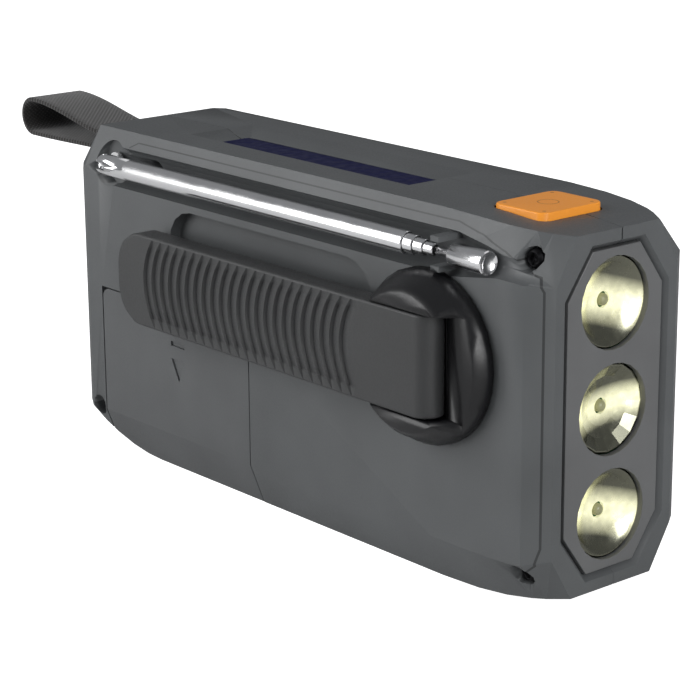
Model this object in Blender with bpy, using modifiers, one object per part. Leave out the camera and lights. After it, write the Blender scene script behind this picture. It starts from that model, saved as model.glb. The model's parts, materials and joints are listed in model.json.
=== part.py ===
"""Wind-up emergency radio: the housing, crank, gear train, aerial, lamps and controls.

Units are metres, +Z is up. The lamps face +X, the crank is on the -Y side and the
controls and loudspeaker are on the +Y side. The origin is the middle of the base.
"""

import math

import bmesh
import bpy
from mathutils import Matrix, Vector

# Housing, driving dimensions
body_length = 0.156
body_depth = 0.044
body_height = 0.078
wall = 0.0022
end_wall = 0.0032
piece_gap = 0.0003
running_gap = 0.0004
overrun = 0.006

# Long chamfers of the housing, and how its section narrows towards the lamp end
back_chamfer_depth = 0.0037
front_chamfer_depth = 0.0052
chamfer_height = 0.0096
blend_length = 0.030
end_bevel = 0.0038
rim_inset = 0.0049
rim_drop = 0.00195
rim_chamfer_depth = 0.0068
rim_chamfer_height = 0.0113
cavity_end_inset = 0.0066

# Strap end of the housing, bowed in plan and rounded at the bottom
end_bow_radius = 0.060
end_bow_middle = 0.018
front_corner_radius = 0.024
sole_round_length = 0.0272
sole_round_height = 0.0200
end_taper = 0.0067
end_taper_height = 0.0210
near_corner_radius = 0.0030
seam_y = 0.0008

# Crank
hub_x = 0.0485
hub_drop = 0.0297
hub_radius = 0.0182
hub_top_radius = 0.0141
hub_rise = 0.0086
hub_boss_radius = 0.0126
hub_boss_depth = 0.0036
hub_ramp_rise = 0.0046
handle_width = 0.0213
handle_length = 0.0971
handle_lift = 0.0030
handle_pin_x = 0.0520
handle_barrel_radius = 0.0037
handle_corner_radius = 0.0085
scoop_below = 0.0033
scoop_above = 0.0155
hinge_pin_radius = 0.0011
rib_pitch = 0.0031
rib_depth = 0.0007
rib_land = 0.0011
rib_count = 23
first_rib_radius = 0.0158

# Gear train: modules, tooth counts and the directions from each axle to the next
first_module = 0.0008
second_module = 0.0007
third_module = 0.0006
drive_teeth = 44
first_wheel_teeth = 40
second_wheel_teeth = 36
pinion_teeth = 12
first_axle_angle = math.radians(215)
second_axle_angle = math.radians(165)
rotor_angle = math.radians(100)
gear_width = 0.0026
gear_spacing = 0.0012
gear_backlash = 0.00022
gear_depth = 0.0070
pressure_angle = math.radians(20)
crank_shaft_radius = 0.0030
axle_radius = 0.0010
bore_gap = 0.00015
frame_thickness = 0.0015
generator_radius = 0.0120
generator_length = 0.0110
generator_wall = 0.0010

# Aerial
aerial_drop = 0.0078
aerial_proud = 0.00035
aerial_radius = 0.00245
aerial_pivot_x = -0.0640
aerial_trough_wall = 0.0016
aerial_tube_wall = 0.00025
aerial_slide_gap = 0.00012
aerial_tube_end_x = 0.0418
aerial_step = 0.0027
aerial_tip_x = 0.0542
aerial_tip_length = 0.0107
aerial_tip_radius = 0.0025
aerial_knuckle_length = 0.0120
aerial_pocket_radius = 0.0053
aerial_trough_radius = 0.0048
aerial_taper_x = 0.0535
aerial_trough_end_x = 0.0665
stud_disc_thickness = 0.0010
stud_shaft_radius = 0.0015
stud_shaft_length = 0.0018
tongue_thickness = 0.0014
aerial_pin_radius = 0.0006
clip_x = 0.0522
clip_width = 0.0024
clip_prong = 0.0011
clip_reach = 0.0026

# Lamp end
lens_half_width = 0.0133
lens_edge = 0.0058
lens_chamfer_depth = 0.0066
lens_chamfer_height = 0.0091
lens_setback = 0.0005
lens_thickness = 0.0015
lens_shelf = 0.0012
lip_width = 0.0011
lip_depth = 0.0014
cup_setback = 0.0011
cup_depth = 0.0024
cup_flange_gap = 0.00115
cup_flange_width = 0.0007
cup_flange_thickness = 0.0007
cup_wall = 0.0008
emitter_hole_radius = 0.0017
emitter_radius = 0.0013
emitter_rise = 0.0009
lamp_board_thickness = 0.0014

# Top of the housing: sun panel and call button
panel_x = -0.0088
panel_length = 0.0664
panel_y = -0.00275
panel_width = 0.0115
panel_thickness = 0.0012
panel_setback = 0.0017
panel_corner_radius = 0.0020
panel_recess_left = 0.0050
panel_recess_right = 0.0033
panel_recess_near = 0.0012
panel_recess_far = 0.0050
panel_backing = 0.0016
call_x = 0.0604
call_y = -0.0019
call_length = 0.0143
call_width = 0.0176
call_rise = 0.0006
call_travel = 0.0005
call_thickness = 0.0022
call_corner_radius = 0.0022
call_flange = 0.0010

# Battery bay behind the sliding door
door_x = -0.0397
door_length = 0.0558
door_height = 0.0399
door_thickness = 0.0018
door_corner_radius = 0.0025
door_travel = 0.042
cell_radius = 0.00525
cell_length = 0.0445
cell_gap = 0.0004
bay_wall = 0.0012
bay_clearance = 0.0004
contact_thickness = 0.0005
spring_radius = 0.0030
spring_length = 0.0030

# Front side: loudspeaker, dial and controls
speaker_x = -0.0335
speaker_drop = 0.0300
speaker_radius = 0.0185
speaker_depth = 0.0110
speaker_magnet_radius = 0.0085
grille_slot = 0.0016
grille_pitch = 0.0040
grille_rows = 7
window_x = 0.0230
window_drop = 0.0170
window_length = 0.0520
window_height = 0.0120
window_thickness = 0.0012
pointer_travel = 0.0360
pointer_width = 0.0008
knob_radius = 0.0090
knob_rise = 0.0045
knob_shaft_radius = 0.0020
volume_x = 0.0060
tuning_x = 0.0400
knob_drop = 0.0280
band_x = 0.0230
band_z = 0.0150
band_travel = 0.0060
band_slot_height = 0.0044
lamp_key_x = 0.0620
lamp_key_radius = 0.0045
lamp_key_travel = 0.0008
key_rise = 0.0012
board_setback = 0.0080
board_thickness = 0.0015
board_top_gap = 0.0080

# Strap end: wrist strap, its pin, and the charging socket under a rubber flap
strap_width = 0.0150
strap_thickness = 0.0012
strap_y = -0.0078
strap_drop = 0.0050
strap_tip_rise = 0.0020
strap_reach = 0.0325
strap_bulge = 0.0048
strap_pin_radius = 0.0012
strap_pin_inset = 0.0042
flap_y = -0.0100
flap_drop = 0.0210
flap_width = 0.0130
flap_height = 0.0100
flap_thickness = 0.0015
flap_pin_drop = 0.0008
socket_width = 0.0090
socket_height = 0.0032
socket_length = 0.0070
socket_wall = 0.0004

# Case screws
screw_radius = 0.0021
screw_hole_radius = 0.0025
screw_sink = 0.0060
screw_shaft_radius = 0.0013
screw_length = 0.0120
screw_x_lamp = 0.0724
screw_x_strap = -0.0706
screw_z_low = 0.0076
screw_drop = 0.0063
screw_z_strap = 0.0100
screw_x_trough = -0.0500
screw_floor = 0.0020
screw_post_radius = 0.0036
front_post_radius = 0.0024
lamp_post_radius = 0.0020
screw_pilot = 0.0100
screw_head = 0.0016

# Places that several pieces share
back_y = -body_depth / 2
front_y = body_depth / 2
lamp_x = body_length / 2
strap_x = -body_length / 2
middle_z = body_height / 2
hub_z = body_height - hub_drop
aerial_z = body_height - aerial_drop
screw_z_high = body_height - screw_drop
call_top = body_height + call_rise
strap_z = body_height - strap_drop
flap_z = strap_z - flap_drop
speaker_z = body_height - speaker_drop
window_z = body_height - window_drop
knob_z = window_z - knob_drop
lamp_key_z = knob_z
lens_half_height = middle_z - lens_edge
lamp_spacing_share = 0.66
lamp_spacing = lens_half_height * lamp_spacing_share
cup_flange_radius = lamp_spacing / 2 - cup_flange_gap
cup_radius = cup_flange_radius - cup_flange_width
lamp_hole_radius = cup_radius + running_gap
aerial_y = back_y - aerial_proud
hub_top_y = back_y - hub_rise
pin_y = hub_top_y + handle_barrel_radius
handle_inner_y = back_y - handle_lift
gear_1_y = back_y + gear_depth
gear_2_y = gear_1_y + gear_width + gear_spacing
gear_3_y = gear_2_y + gear_width + gear_spacing
frame_y = gear_3_y + gear_width + gear_spacing
board_y = front_y - board_setback

round_sides = 28
small_sides = 12

colours = {
    "housing_grey": ((0.095, 0.105, 0.112), 0.55, 0.0),
    "door_grey": ((0.098, 0.104, 0.108), 0.55, 0.0),
    "lens_grey": ((0.115, 0.110, 0.108), 0.40, 0.0),
    "crank_black": ((0.018, 0.018, 0.019), 0.45, 0.0),
    "grip_grey": ((0.042, 0.043, 0.043), 0.60, 0.0),
    "chrome": ((0.80, 0.80, 0.80), 0.10, 1.0),
    "steel": ((0.50, 0.50, 0.50), 0.35, 1.0),
    "brass": ((0.60, 0.45, 0.20), 0.35, 1.0),
    "gear_white": ((0.75, 0.74, 0.70), 0.50, 0.0),
    "call_orange": ((0.90, 0.26, 0.03), 0.45, 0.0),
    "cell_blue": ((0.006, 0.008, 0.055), 0.25, 0.0),
    "emitter_olive": ((0.30, 0.29, 0.16), 0.40, 0.0),
    "cup_silver": ((0.85, 0.85, 0.72), 0.15, 1.0),
    "board_green": ((0.02, 0.13, 0.05), 0.50, 0.0),
    "copper": ((0.55, 0.22, 0.10), 0.40, 1.0),
    "window_clear": ((0.60, 0.65, 0.68), 0.08, 0.0),
    "pointer_red": ((0.65, 0.05, 0.03), 0.40, 0.0),
    "pale_scale": ((0.70, 0.70, 0.66), 0.60, 0.0),
    "webbing_black": ((0.035, 0.033, 0.031), 0.90, 0.0),
    "rubber_black": ((0.025, 0.026, 0.028), 0.80, 0.0),
    "cone_black": ((0.03, 0.03, 0.03), 0.85, 0.0),
    "pack_green": ((0.05, 0.30, 0.16), 0.40, 0.0),
}


def clear_scene():
    """Remove every object, so that the model stands alone."""
    for obj in list(bpy.data.objects):
        bpy.data.objects.remove(obj, do_unlink=True)


def new_collection(name):
    """Make a collection under the scene's own."""
    made = bpy.data.collections.new(name)
    bpy.context.scene.collection.children.link(made)
    return made


clear_scene()
parts = new_collection("wind_up_radio")
cutters = new_collection("cutters")


def material(name):
    """The Principled material of that name, made at its first use."""
    found = bpy.data.materials.get(name)
    if found:
        return found
    colour, roughness, metallic = colours[name]
    made = bpy.data.materials.new(name)
    made.use_nodes = True
    shader = made.node_tree.nodes["Principled BSDF"]
    shader.inputs["Base Color"].default_value = (*colour, 1.0)
    shader.inputs["Roughness"].default_value = roughness
    shader.inputs["Metallic"].default_value = metallic
    return made


def place_object(name, mesh, finish=None, matrix=None):
    """Put a mesh in the scene: as a part with its finish, or as a hidden cutter."""
    obj = bpy.data.objects.new(name, mesh)
    if matrix is not None:
        obj.matrix_world = matrix
    if finish is None:
        cutters.objects.link(obj)
        obj.hide_render = True
        obj.display_type = "WIRE"
    else:
        parts.objects.link(obj)
        mesh.materials.clear()
        mesh.materials.append(material(finish))
    return obj


def from_bmesh(name, bm, finish=None, matrix=None):
    """An object from a bmesh, which is freed."""
    bmesh.ops.recalc_face_normals(bm, faces=bm.faces)
    mesh = bpy.data.meshes.new(name)
    bm.to_mesh(mesh)
    bm.free()
    return place_object(name, mesh, finish, matrix)


def block(name, low, high, finish=None):
    """A box between two corners."""
    bm = bmesh.new()
    bmesh.ops.create_cube(bm, size=1)
    low = Vector(low)
    size = Vector(high) - low
    bmesh.ops.scale(bm, vec=size, verts=bm.verts)
    bmesh.ops.translate(bm, vec=low + size / 2, verts=bm.verts)
    return from_bmesh(name, bm, finish)


turns = {
    "X": Matrix.Rotation(math.radians(90), 4, "Y"),
    "Y": Matrix.Rotation(math.radians(-90), 4, "X"),
    "Z": Matrix.Identity(4),
}


def rod(name, axis, start, length, radius, finish=None, sides=small_sides, end_radius=None):
    """A cylinder or cone from a start point along +axis."""
    bm = bmesh.new()
    turn = turns[axis]
    middle = Vector(start) + turn @ Vector((0, 0, length / 2))
    bmesh.ops.create_cone(
        bm,
        cap_ends=True,
        segments=sides,
        radius1=radius,
        radius2=radius if end_radius is None else end_radius,
        depth=length,
        matrix=Matrix.Translation(middle) @ turn,
    )
    return from_bmesh(name, bm, finish)


def turned(name, axis, centre, profile, finish=None, sides=round_sides, closed=False):
    """A profile of (radius, height) points turned about an axis through centre."""
    bm = bmesh.new()
    points = [bm.verts.new((radius, 0, height)) for radius, height in profile]
    for first, second in zip(points, points[1:]):
        bm.edges.new((first, second))
    if closed:
        bm.edges.new((points[-1], points[0]))
    mesh = bpy.data.meshes.new(name)
    bm.to_mesh(mesh)
    bm.free()
    obj = place_object(name, mesh, finish, Matrix.Translation(Vector(centre)) @ turns[axis])
    screw = obj.modifiers.new("Turn", "SCREW")
    screw.steps = sides
    screw.render_steps = sides
    screw.use_merge_vertices = True
    screw.merge_threshold = 0.00001
    return obj


planes = {
    "XY": Matrix.Identity(4),
    "XZ": Matrix(((1, 0, 0, 0), (0, 0, -1, 0), (0, 1, 0, 0), (0, 0, 0, 1))),
    "YZ": Matrix(((0, 0, 1, 0), (1, 0, 0, 0), (0, 1, 0, 0), (0, 0, 0, 1))),
}
plane_normals = {"XY": Vector((0, 0, 1)), "XZ": Vector((0, 1, 0)), "YZ": Vector((1, 0, 0))}


def prism(name, plane, outlines, low, high, finish=None):
    """Flat outlines in a plane, filled and carried from low to high along its normal."""
    curve = bpy.data.curves.new(name, "CURVE")
    curve.dimensions = "2D"
    curve.fill_mode = "BOTH"
    curve.extrude = (high - low) / 2
    for outline in outlines:
        spline = curve.splines.new("POLY")
        spline.points.add(len(outline) - 1)
        for point, (across, up) in zip(spline.points, outline):
            point.co = (across, up, 0, 1)
        spline.use_cyclic_u = True
    guide = bpy.data.objects.new(name + "_curve", curve)
    cutters.objects.link(guide)
    offset = plane_normals[plane] * ((low + high) / 2)
    guide.matrix_world = Matrix.Translation(offset) @ planes[plane]
    return meshed(name, guide, finish)


def meshed(name, guide, finish=None):
    """A curve or a modified object made a plain mesh, in the curve's place."""
    bpy.context.view_layer.update()
    graph = bpy.context.evaluated_depsgraph_get()
    mesh = bpy.data.meshes.new_from_object(guide.evaluated_get(graph))
    matrix = guide.matrix_world.copy()
    bpy.data.objects.remove(guide, do_unlink=True)
    bm = bmesh.new()
    bm.from_mesh(mesh)
    bmesh.ops.remove_doubles(bm, verts=bm.verts, dist=0.000001)
    bmesh.ops.recalc_face_normals(bm, faces=bm.faces)
    bm.to_mesh(mesh)
    bm.free()
    mesh.name = name
    return place_object(name, mesh, finish, matrix)


def combine(target, operation, others):
    """One Boolean modifier for each of the other objects."""
    for other in others:
        boolean = target.modifiers.new(other.name, "BOOLEAN")
        boolean.operation = operation
        boolean.object = other
        boolean.solver = "EXACT"
    return target


def cut(target, *others):
    """Take the other shapes away from the target."""
    return combine(target, "DIFFERENCE", others)


def join(target, *others):
    """Add the other shapes to the target."""
    return combine(target, "UNION", others)


def keep_common(target, *others):
    """Keep only what the target shares with the other shapes."""
    return combine(target, "INTERSECT", others)


def soften(obj, width, segments=1, angle=40):
    """Round the edges that are sharper than an angle."""
    bevel = obj.modifiers.new("Soften", "BEVEL")
    bevel.width = width
    bevel.segments = segments
    bevel.limit_method = "ANGLE"
    bevel.angle_limit = math.radians(angle)
    bevel.use_clamp_overlap = True
    return obj


def smooth(obj, angle=30):
    """Shade a round piece smooth, with its sharp edges kept."""
    obj.data.shade_smooth()
    obj.data.set_sharp_from_angle(angle=math.radians(angle))
    return obj


def arc(centre, radius, start, end, steps, height=None):
    """Points along an arc, or along an ellipse where a height is given."""
    height = radius if height is None else height
    points = []
    for step in range(steps + 1):
        angle = math.radians(start + (end - start) * step / steps)
        points.append(
            (centre[0] + radius * math.cos(angle), centre[1] + height * math.sin(angle))
        )
    return points


def rounded_box(x, y, length, width, radius, steps=4):
    """The outline of a rectangle with round corners, about its middle."""
    dx = length / 2 - radius
    dy = width / 2 - radius
    outline = []
    for quarter, (sx, sy) in enumerate(((1, 1), (-1, 1), (-1, -1), (1, -1))):
        centre = (x + sx * dx, y + sy * dy)
        outline += arc(centre, radius, 90 * quarter, 90 * quarter + 90, steps)
    return outline


def octagon(half_width, half_height, cut_width, cut_height, middle):
    """The eight corners of the lamp end's outline, in Y and Z."""
    w, h = half_width, half_height
    return [
        (-w, middle - h + cut_height),
        (-w + cut_width, middle - h),
        (w - cut_width, middle - h),
        (w, middle - h + cut_height),
        (w, middle + h - cut_height),
        (w - cut_width, middle + h),
        (-w + cut_width, middle + h),
        (-w, middle + h - cut_height),
    ]


def hull(circles, sides=small_sides):
    """The convex outline round some circles, each given as (x, z, radius)."""
    points = set()
    for x, z, radius in circles:
        points.update(arc((x, z), radius, 0, 360 - 360 / sides, sides - 1))
    points = sorted(points)

    def chain(ordered):
        kept = []
        for point in ordered:
            while len(kept) > 1 and turn_of(kept[-2], kept[-1], point) <= 0:
                kept.pop()
            kept.append(point)
        return kept[:-1]

    return chain(points) + chain(points[::-1])


def turn_of(first, second, third):
    """Positive where three points turn to the left."""
    ahead = (second[0] - first[0]) * (third[1] - first[1])
    return ahead - (second[1] - first[1]) * (third[0] - first[0])


# Housing: one outer form and one hollow, which both halves are cut from
blend_shares = (0.0, 0.35, 0.6, 0.78, 1 - end_bevel / blend_length, 1.0)
drop_power = 1.6
corner_power = 4


def chamfer_shift(depth, height, inset):
    """How far a chamfer's two corners move when the section is drawn in."""
    slope = math.hypot(depth, height)
    on_flat = inset * (depth - (slope - height) * height / depth) / slope
    on_edge = inset * (height - (slope - depth) * depth / height) / slope
    return on_flat, on_edge


def housing_section(x, inset):
    """The eight corners of the housing's section at x, drawn in by an inset."""
    share = max(0.0, (x - lamp_x + blend_length) / blend_length)
    bevel = max(0.0, (x - lamp_x + end_bevel) / end_bevel) * rim_inset
    drop = rim_drop * share**drop_power + inset
    height = chamfer_height + (rim_chamfer_height - chamfer_height) * share**corner_power
    growth = rim_chamfer_depth * share**corner_power
    rim_depth = back_chamfer_depth + rim_chamfer_depth
    front_growth = (rim_depth - front_chamfer_depth) * share**corner_power
    flat, edge = chamfer_shift(back_chamfer_depth, chamfer_height, inset)
    front_flat, front_edge = chamfer_shift(front_chamfer_depth, chamfer_height, inset)
    back = back_y + bevel + inset
    front = front_y - bevel - inset
    back_corner = back_y + back_chamfer_depth + growth + edge
    front_corner = front_y - front_chamfer_depth - front_growth - front_edge
    low = drop
    high = body_height - drop
    return [
        (x, back, height + flat),
        (x, back_corner, low),
        (x, front_corner, low),
        (x, front, height + front_flat),
        (x, front, body_height - height - front_flat),
        (x, front_corner, high),
        (x, back_corner, high),
        (x, back, body_height - height - flat),
    ]


def loft(name, sections, finish=None):
    """A closed skin over sections that have the same number of corners."""
    bm = bmesh.new()
    rings = [[bm.verts.new(point) for point in section] for section in sections]
    for first, second in zip(rings, rings[1:]):
        count = len(first)
        for index in range(count):
            following = (index + 1) % count
            bm.faces.new((first[index], first[following], second[following], second[index]))
    bm.faces.new(rings[0])
    bm.faces.new(rings[-1])
    return from_bmesh(name, bm, finish)


def plan_outline(inset, corner):
    """Seen from above: the bowed strap end, drawn in by an inset."""
    bow_y = back_y + end_bow_middle
    radius = end_bow_radius - inset
    centre_x = strap_x + end_bow_radius
    front_centre = (strap_x + front_corner_radius, front_y - front_corner_radius)
    steps = 5
    bow = []
    for step in range(1, steps + 1):
        y = bow_y + (back_y + corner - bow_y) * step / steps
        bow.append((centre_x - math.sqrt(radius**2 - (y - bow_y) ** 2), y))
    near_centre = (bow[-1][0] + corner, back_y + corner)
    outline = [(lamp_x + overrun, front_y + overrun), (front_centre[0], front_y + overrun)]
    outline += arc(front_centre, front_corner_radius - inset, 90, 180, 8)
    outline += bow[:-1]
    outline += arc(near_centre, corner, 180, 270, 3)
    outline += [(near_centre[0], back_y - overrun), (lamp_x + overrun, back_y - overrun)]
    return outline


def side_outline(inset):
    """Seen from the side: the round sole and the taper at the top of the strap end."""
    centre = (strap_x + sole_round_length, sole_round_height)
    length = sole_round_length - inset
    height = sole_round_height - inset
    top = body_height - end_taper_height
    slope = end_taper / end_taper_height
    outline = [(lamp_x + overrun, body_height + overrun)]
    outline += [(strap_x + inset + end_taper + overrun * slope, body_height + overrun)]
    outline += [(strap_x + inset, top)]
    outline += arc(centre, length, 180, 270, 8, height)
    outline += [(centre[0], -overrun), (lamp_x + overrun, -overrun)]
    return outline


def housing_form(name, inset, end_x, end_inset, corner):
    """The housing's outer form, or with an inset the hollow inside it."""
    start = lamp_x - blend_length
    stations = [strap_x - overrun]
    stations += [start + share * blend_length for share in blend_shares]
    stations = [x for x in stations if x < end_x] + [end_x]
    form = loft(name + "_loft", [housing_section(x, inset) for x in stations])
    plan = prism(name + "_plan", "XY", [plan_outline(end_inset, corner)], -overrun, body_height + overrun)
    side_low = back_y - overrun
    side = prism(name + "_side", "XZ", [side_outline(end_inset)], side_low, front_y + overrun)
    return meshed(name, keep_common(form, plan, side))


def lens_outline(margin):
    """The lens plate's outline, larger by a margin."""
    flat, edge = chamfer_shift(lens_chamfer_depth, lens_chamfer_height, -margin)
    return octagon(
        lens_half_width + margin,
        lens_half_height + margin,
        lens_chamfer_depth + margin + edge,
        lens_chamfer_height + margin + flat,
        middle_z,
    )


def yz_section(x, outline):
    """An outline in Y and Z set at x."""
    return [(x, y, z) for y, z in outline]


outer_form = housing_form("outer_form", 0, lamp_x, 0, near_corner_radius)
hollow_end_x = lamp_x - cavity_end_inset
hollow_form = housing_form("hollow_form", wall, hollow_end_x, end_wall, piece_gap)
lens_back_x = lamp_x - lens_setback - lens_thickness
lens_seat_x = lens_back_x - piece_gap
lens_throat = prism(
    "lens_throat", "YZ", [lens_outline(-lens_shelf)], hollow_end_x - overrun / 2, lens_seat_x + overrun / 2
)
lens_recess = prism("lens_recess", "YZ", [lens_outline(piece_gap)], lens_seat_x, lamp_x + overrun)
lip_share = overrun / lip_depth
lens_lip = loft(
    "lens_lip",
    [
        yz_section(lamp_x - lip_depth, lens_outline(piece_gap)),
        yz_section(lamp_x + overrun, lens_outline(piece_gap + lip_width * (1 + lip_share))),
    ],
)
hollow = meshed("hollow", join(hollow_form, lens_throat))
post_limit = housing_form("post_limit", wall / 2, lens_seat_x, end_wall / 2, piece_gap)


def copy_of(obj, name):
    """A cutter with a mesh of its own, the same shape as another."""
    made = place_object(name, obj.data.copy(), None, obj.matrix_world.copy())
    return made


# Screws: three in view and one under the aerial
trough_floor_y = aerial_y + aerial_trough_radius
screws = (
    (screw_x_lamp, screw_z_high, back_y, lamp_post_radius),
    (screw_x_lamp, screw_z_low, back_y, lamp_post_radius),
    (screw_x_strap, screw_z_strap, back_y, front_post_radius),
    (screw_x_trough, aerial_z, trough_floor_y, front_post_radius),
)


def screw_seat(face_y):
    """Where a screw's head rests, below the face that it is sunk in."""
    return face_y + screw_sink


def case_screw(number, x, z, face_y):
    """A screw with a pan head and a cross slot."""
    seat = screw_seat(face_y) - piece_gap
    cross_half = screw_radius * 0.6
    cross_width = screw_radius / 6
    name = f"case_screw_{number}"
    profile = [
        (0, seat + screw_length),
        (screw_shaft_radius, seat + screw_length),
        (screw_shaft_radius, seat),
        (screw_radius, seat),
        (screw_radius, seat - screw_head / 2),
        (screw_radius * 0.8, seat - screw_head),
        (0, seat - screw_head),
    ]
    screw = turned(name, "Y", (x, 0, z), profile, "steel", small_sides)
    slot_y = seat - screw_head / 2
    for way, (dx, dz) in (("a", (cross_half, cross_width)), ("b", (cross_width, cross_half))):
        low = (x - dx, seat - screw_head - overrun, z - dz)
        slot = block(f"{name}_slot_{way}", low, (x + dx, slot_y, z + dz))
        cut(screw, slot)
    return smooth(screw)


# Battery bay, door and their cutters
bay_depth = door_thickness + 2 * piece_gap + bay_wall / 2 + 2 * cell_radius + bay_clearance
pocket_half = cell_length / 2 + spring_length / 2 + contact_thickness + 2 * piece_gap
pocket_left = door_x - pocket_half
pocket_right = door_x + pocket_half
cell_pitch = 2 * cell_radius + cell_gap
cell_y = back_y + door_thickness + 2 * piece_gap + cell_radius
cell_z_low = cell_radius + wall + piece_gap + cell_gap + 2 * bay_wall
pocket_low = cell_z_low - cell_radius - bay_clearance
pocket_high = cell_z_low + 2 * cell_pitch + cell_radius + bay_clearance
door_left = door_x - door_length / 2
door_right = door_x + door_length / 2


def door_section(thickness, margin):
    """The door in section: flat, then following the housing's lower chamfer."""
    slope = math.hypot(back_chamfer_depth, chamfer_height)
    across = thickness * slope / chamfer_height
    bend = chamfer_shift(back_chamfer_depth, chamfer_height, thickness)[0]
    run = back_chamfer_depth / chamfer_height
    outer = back_y - overrun
    inner_low = back_y + back_chamfer_depth + across + overrun * run
    return [
        (outer, door_height + margin),
        (back_y + thickness, door_height + margin),
        (back_y + thickness, chamfer_height + bend),
        (inner_low, -overrun),
        (outer, -overrun),
    ]


def battery_door():
    """The door, with a row of grip marks: two bars and an arrow that points down."""
    section = door_section(door_thickness, 0)
    door = prism("battery_door", "YZ", [section], door_left, door_right, "door_grey")
    side = prism("door_side", "XZ", [door_outline()], back_y - overrun, front_y)
    skin = copy_of(outer_form, "door_skin")
    keep_common(door, side, skin)
    mark = door_thickness / 4
    x = door_x + mark_offset
    half = mark_width / 2
    bars = []
    for share in mark_bar_shares:
        z = door_height - mark_drop - share * mark_height
        bars.append([(x - half, z), (x + half, z), (x + half, z + mark_bar), (x - half, z + mark_bar)])
    tip = door_height - mark_drop - mark_height
    arrow_top = tip + mark_width
    bars.append([(x - half, arrow_top), (x, tip), (x + half, arrow_top)])
    marks = prism("door_marks", "XZ", bars, back_y - overrun, back_y + mark)
    return cut(door, marks)


mark_offset = 0.0017
mark_width = 0.0052
mark_height = 0.0110
mark_drop = 0.0060
mark_bar = 0.0011
mark_bar_shares = (0.0, 0.24)


def door_outline():
    """The door seen from the crank side, with round upper corners."""
    r = door_corner_radius
    outline = [(door_left, -overrun), (door_right, -overrun)]
    outline += arc((door_right - r, door_height - r), r, 0, 90, 4)
    outline += arc((door_left + r, door_height - r), r, 90, 180, 4)
    return outline


# Gears
addendum_share = 0.75
dedendum_share = 1.0
flank_shares = (0.0, 1.0)


def involute(angle):
    """The involute function of a pressure angle."""
    return math.tan(angle) - angle


def gear_outline(teeth, module, centre, phase):
    """Involute teeth round a centre, the first one pointing along the phase."""
    pitch = teeth * module / 2
    base = pitch * math.cos(pressure_angle)
    tip = pitch + addendum_share * module
    root = pitch - dedendum_share * module
    start = max(base, root)
    half = math.pi / (2 * teeth) - gear_backlash / (4 * pitch)
    flank = []
    for share in flank_shares:
        radius = start + (tip - start) * share
        turned_in = involute(math.acos(min(1.0, base / radius)))
        flank.append((radius, half + involute(pressure_angle) - turned_in))
    if root < base:
        flank.insert(0, (root, flank[0][1]))
    outline = []
    for tooth in range(teeth):
        middle = phase + 2 * math.pi * tooth / teeth
        sides = [(radius, -angle) for radius, angle in flank]
        sides += [(radius, angle) for radius, angle in flank[::-1]]
        for radius, angle in sides:
            across = centre[0] + radius * math.cos(middle + angle)
            up = centre[1] + radius * math.sin(middle + angle)
            outline.append((across, up))
    return outline


def meshing_phase(direction, driver_phase, driver_teeth, driven_teeth):
    """The driven gear's phase that puts a gap opposite the driver's tooth."""
    turned_back = (driver_phase - direction) * driver_teeth / driven_teeth
    return direction + math.pi - turned_back + math.pi / driven_teeth


def centre_from(centre, direction, first_teeth, second_teeth, module):
    """The next axle, a pair of pitch radii away."""
    distance = (first_teeth + second_teeth) * module / 2
    return (
        centre[0] + distance * math.cos(direction),
        centre[1] + distance * math.sin(direction),
    )


hub_centre = (hub_x, hub_z)
first_centre = centre_from(hub_centre, first_axle_angle, drive_teeth, pinion_teeth, first_module)
second_centre = centre_from(
    first_centre, second_axle_angle, first_wheel_teeth, pinion_teeth, second_module
)
rotor_centre = centre_from(
    second_centre, rotor_angle, second_wheel_teeth, pinion_teeth, third_module
)
first_phase = meshing_phase(first_axle_angle, 0, drive_teeth, pinion_teeth)
second_phase = meshing_phase(second_axle_angle, first_phase, first_wheel_teeth, pinion_teeth)
rotor_phase = meshing_phase(rotor_angle, second_phase, second_wheel_teeth, pinion_teeth)


def toothed(name, centre, teeth, module, phase, low, high, finish=None):
    """One set of teeth between two depths."""
    outline = gear_outline(teeth, module, centre, phase)
    return prism(name, "XZ", [outline], low, high, finish)


def bore(name, centre, radius, low, high, sides=small_sides):
    """A cutter along Y."""
    return rod(name, "Y", (centre[0], low, centre[1]), high - low, radius, None, sides)


def compound_gear(name, centre, teeth, wheel_module, phase, wheel_y, pinion_module):
    """A wheel with the pinion that drives it on its crank side, and a bore."""
    low = wheel_y
    high = wheel_y + gear_width
    wheel = toothed(name, centre, teeth, wheel_module, phase, low, high, "gear_white")
    pinion_low = wheel_y - gear_width - gear_spacing
    pinion_high = wheel_y + gear_width / 2
    pinion = toothed(
        name + "_pinion", centre, pinion_teeth, pinion_module, phase, pinion_low, pinion_high
    )
    hole_radius = axle_radius + bore_gap
    hole = bore(name + "_bore", centre, hole_radius, pinion_low - overrun, high + overrun)
    join(wheel, pinion)
    return cut(wheel, hole)


def drive_gear():
    """The large wheel on the crank's own shaft, with five windows in its web."""
    outlines = [gear_outline(drive_teeth, first_module, hub_centre, 0)]
    outlines.append(arc(hub_centre, crank_shaft_radius + bore_gap, 0, 345, 23))
    window_ring = drive_teeth * first_module / 2 * 0.6
    window_radius = window_ring / 3
    for turn in range(5):
        angle = 2 * math.pi * turn / 5
        x = hub_x + window_ring * math.cos(angle)
        z = hub_z + window_ring * math.sin(angle)
        outlines.append(arc((x, z), window_radius, 0, 324, 9))
    return prism("drive_gear", "XZ", outlines, gear_1_y, gear_1_y + gear_width, "gear_white")


# Crank: hub with its boss and shaft, folding handle, pin
hub_base_y = back_y - running_gap
hub_boss_y = back_y + hub_boss_depth
hub_shaft_end_y = gear_1_y + gear_width
slot_half = handle_width / 2 + running_gap
hub_floor_y = handle_inner_y + running_gap
pin_axis = (handle_pin_x, pin_y)


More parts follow.
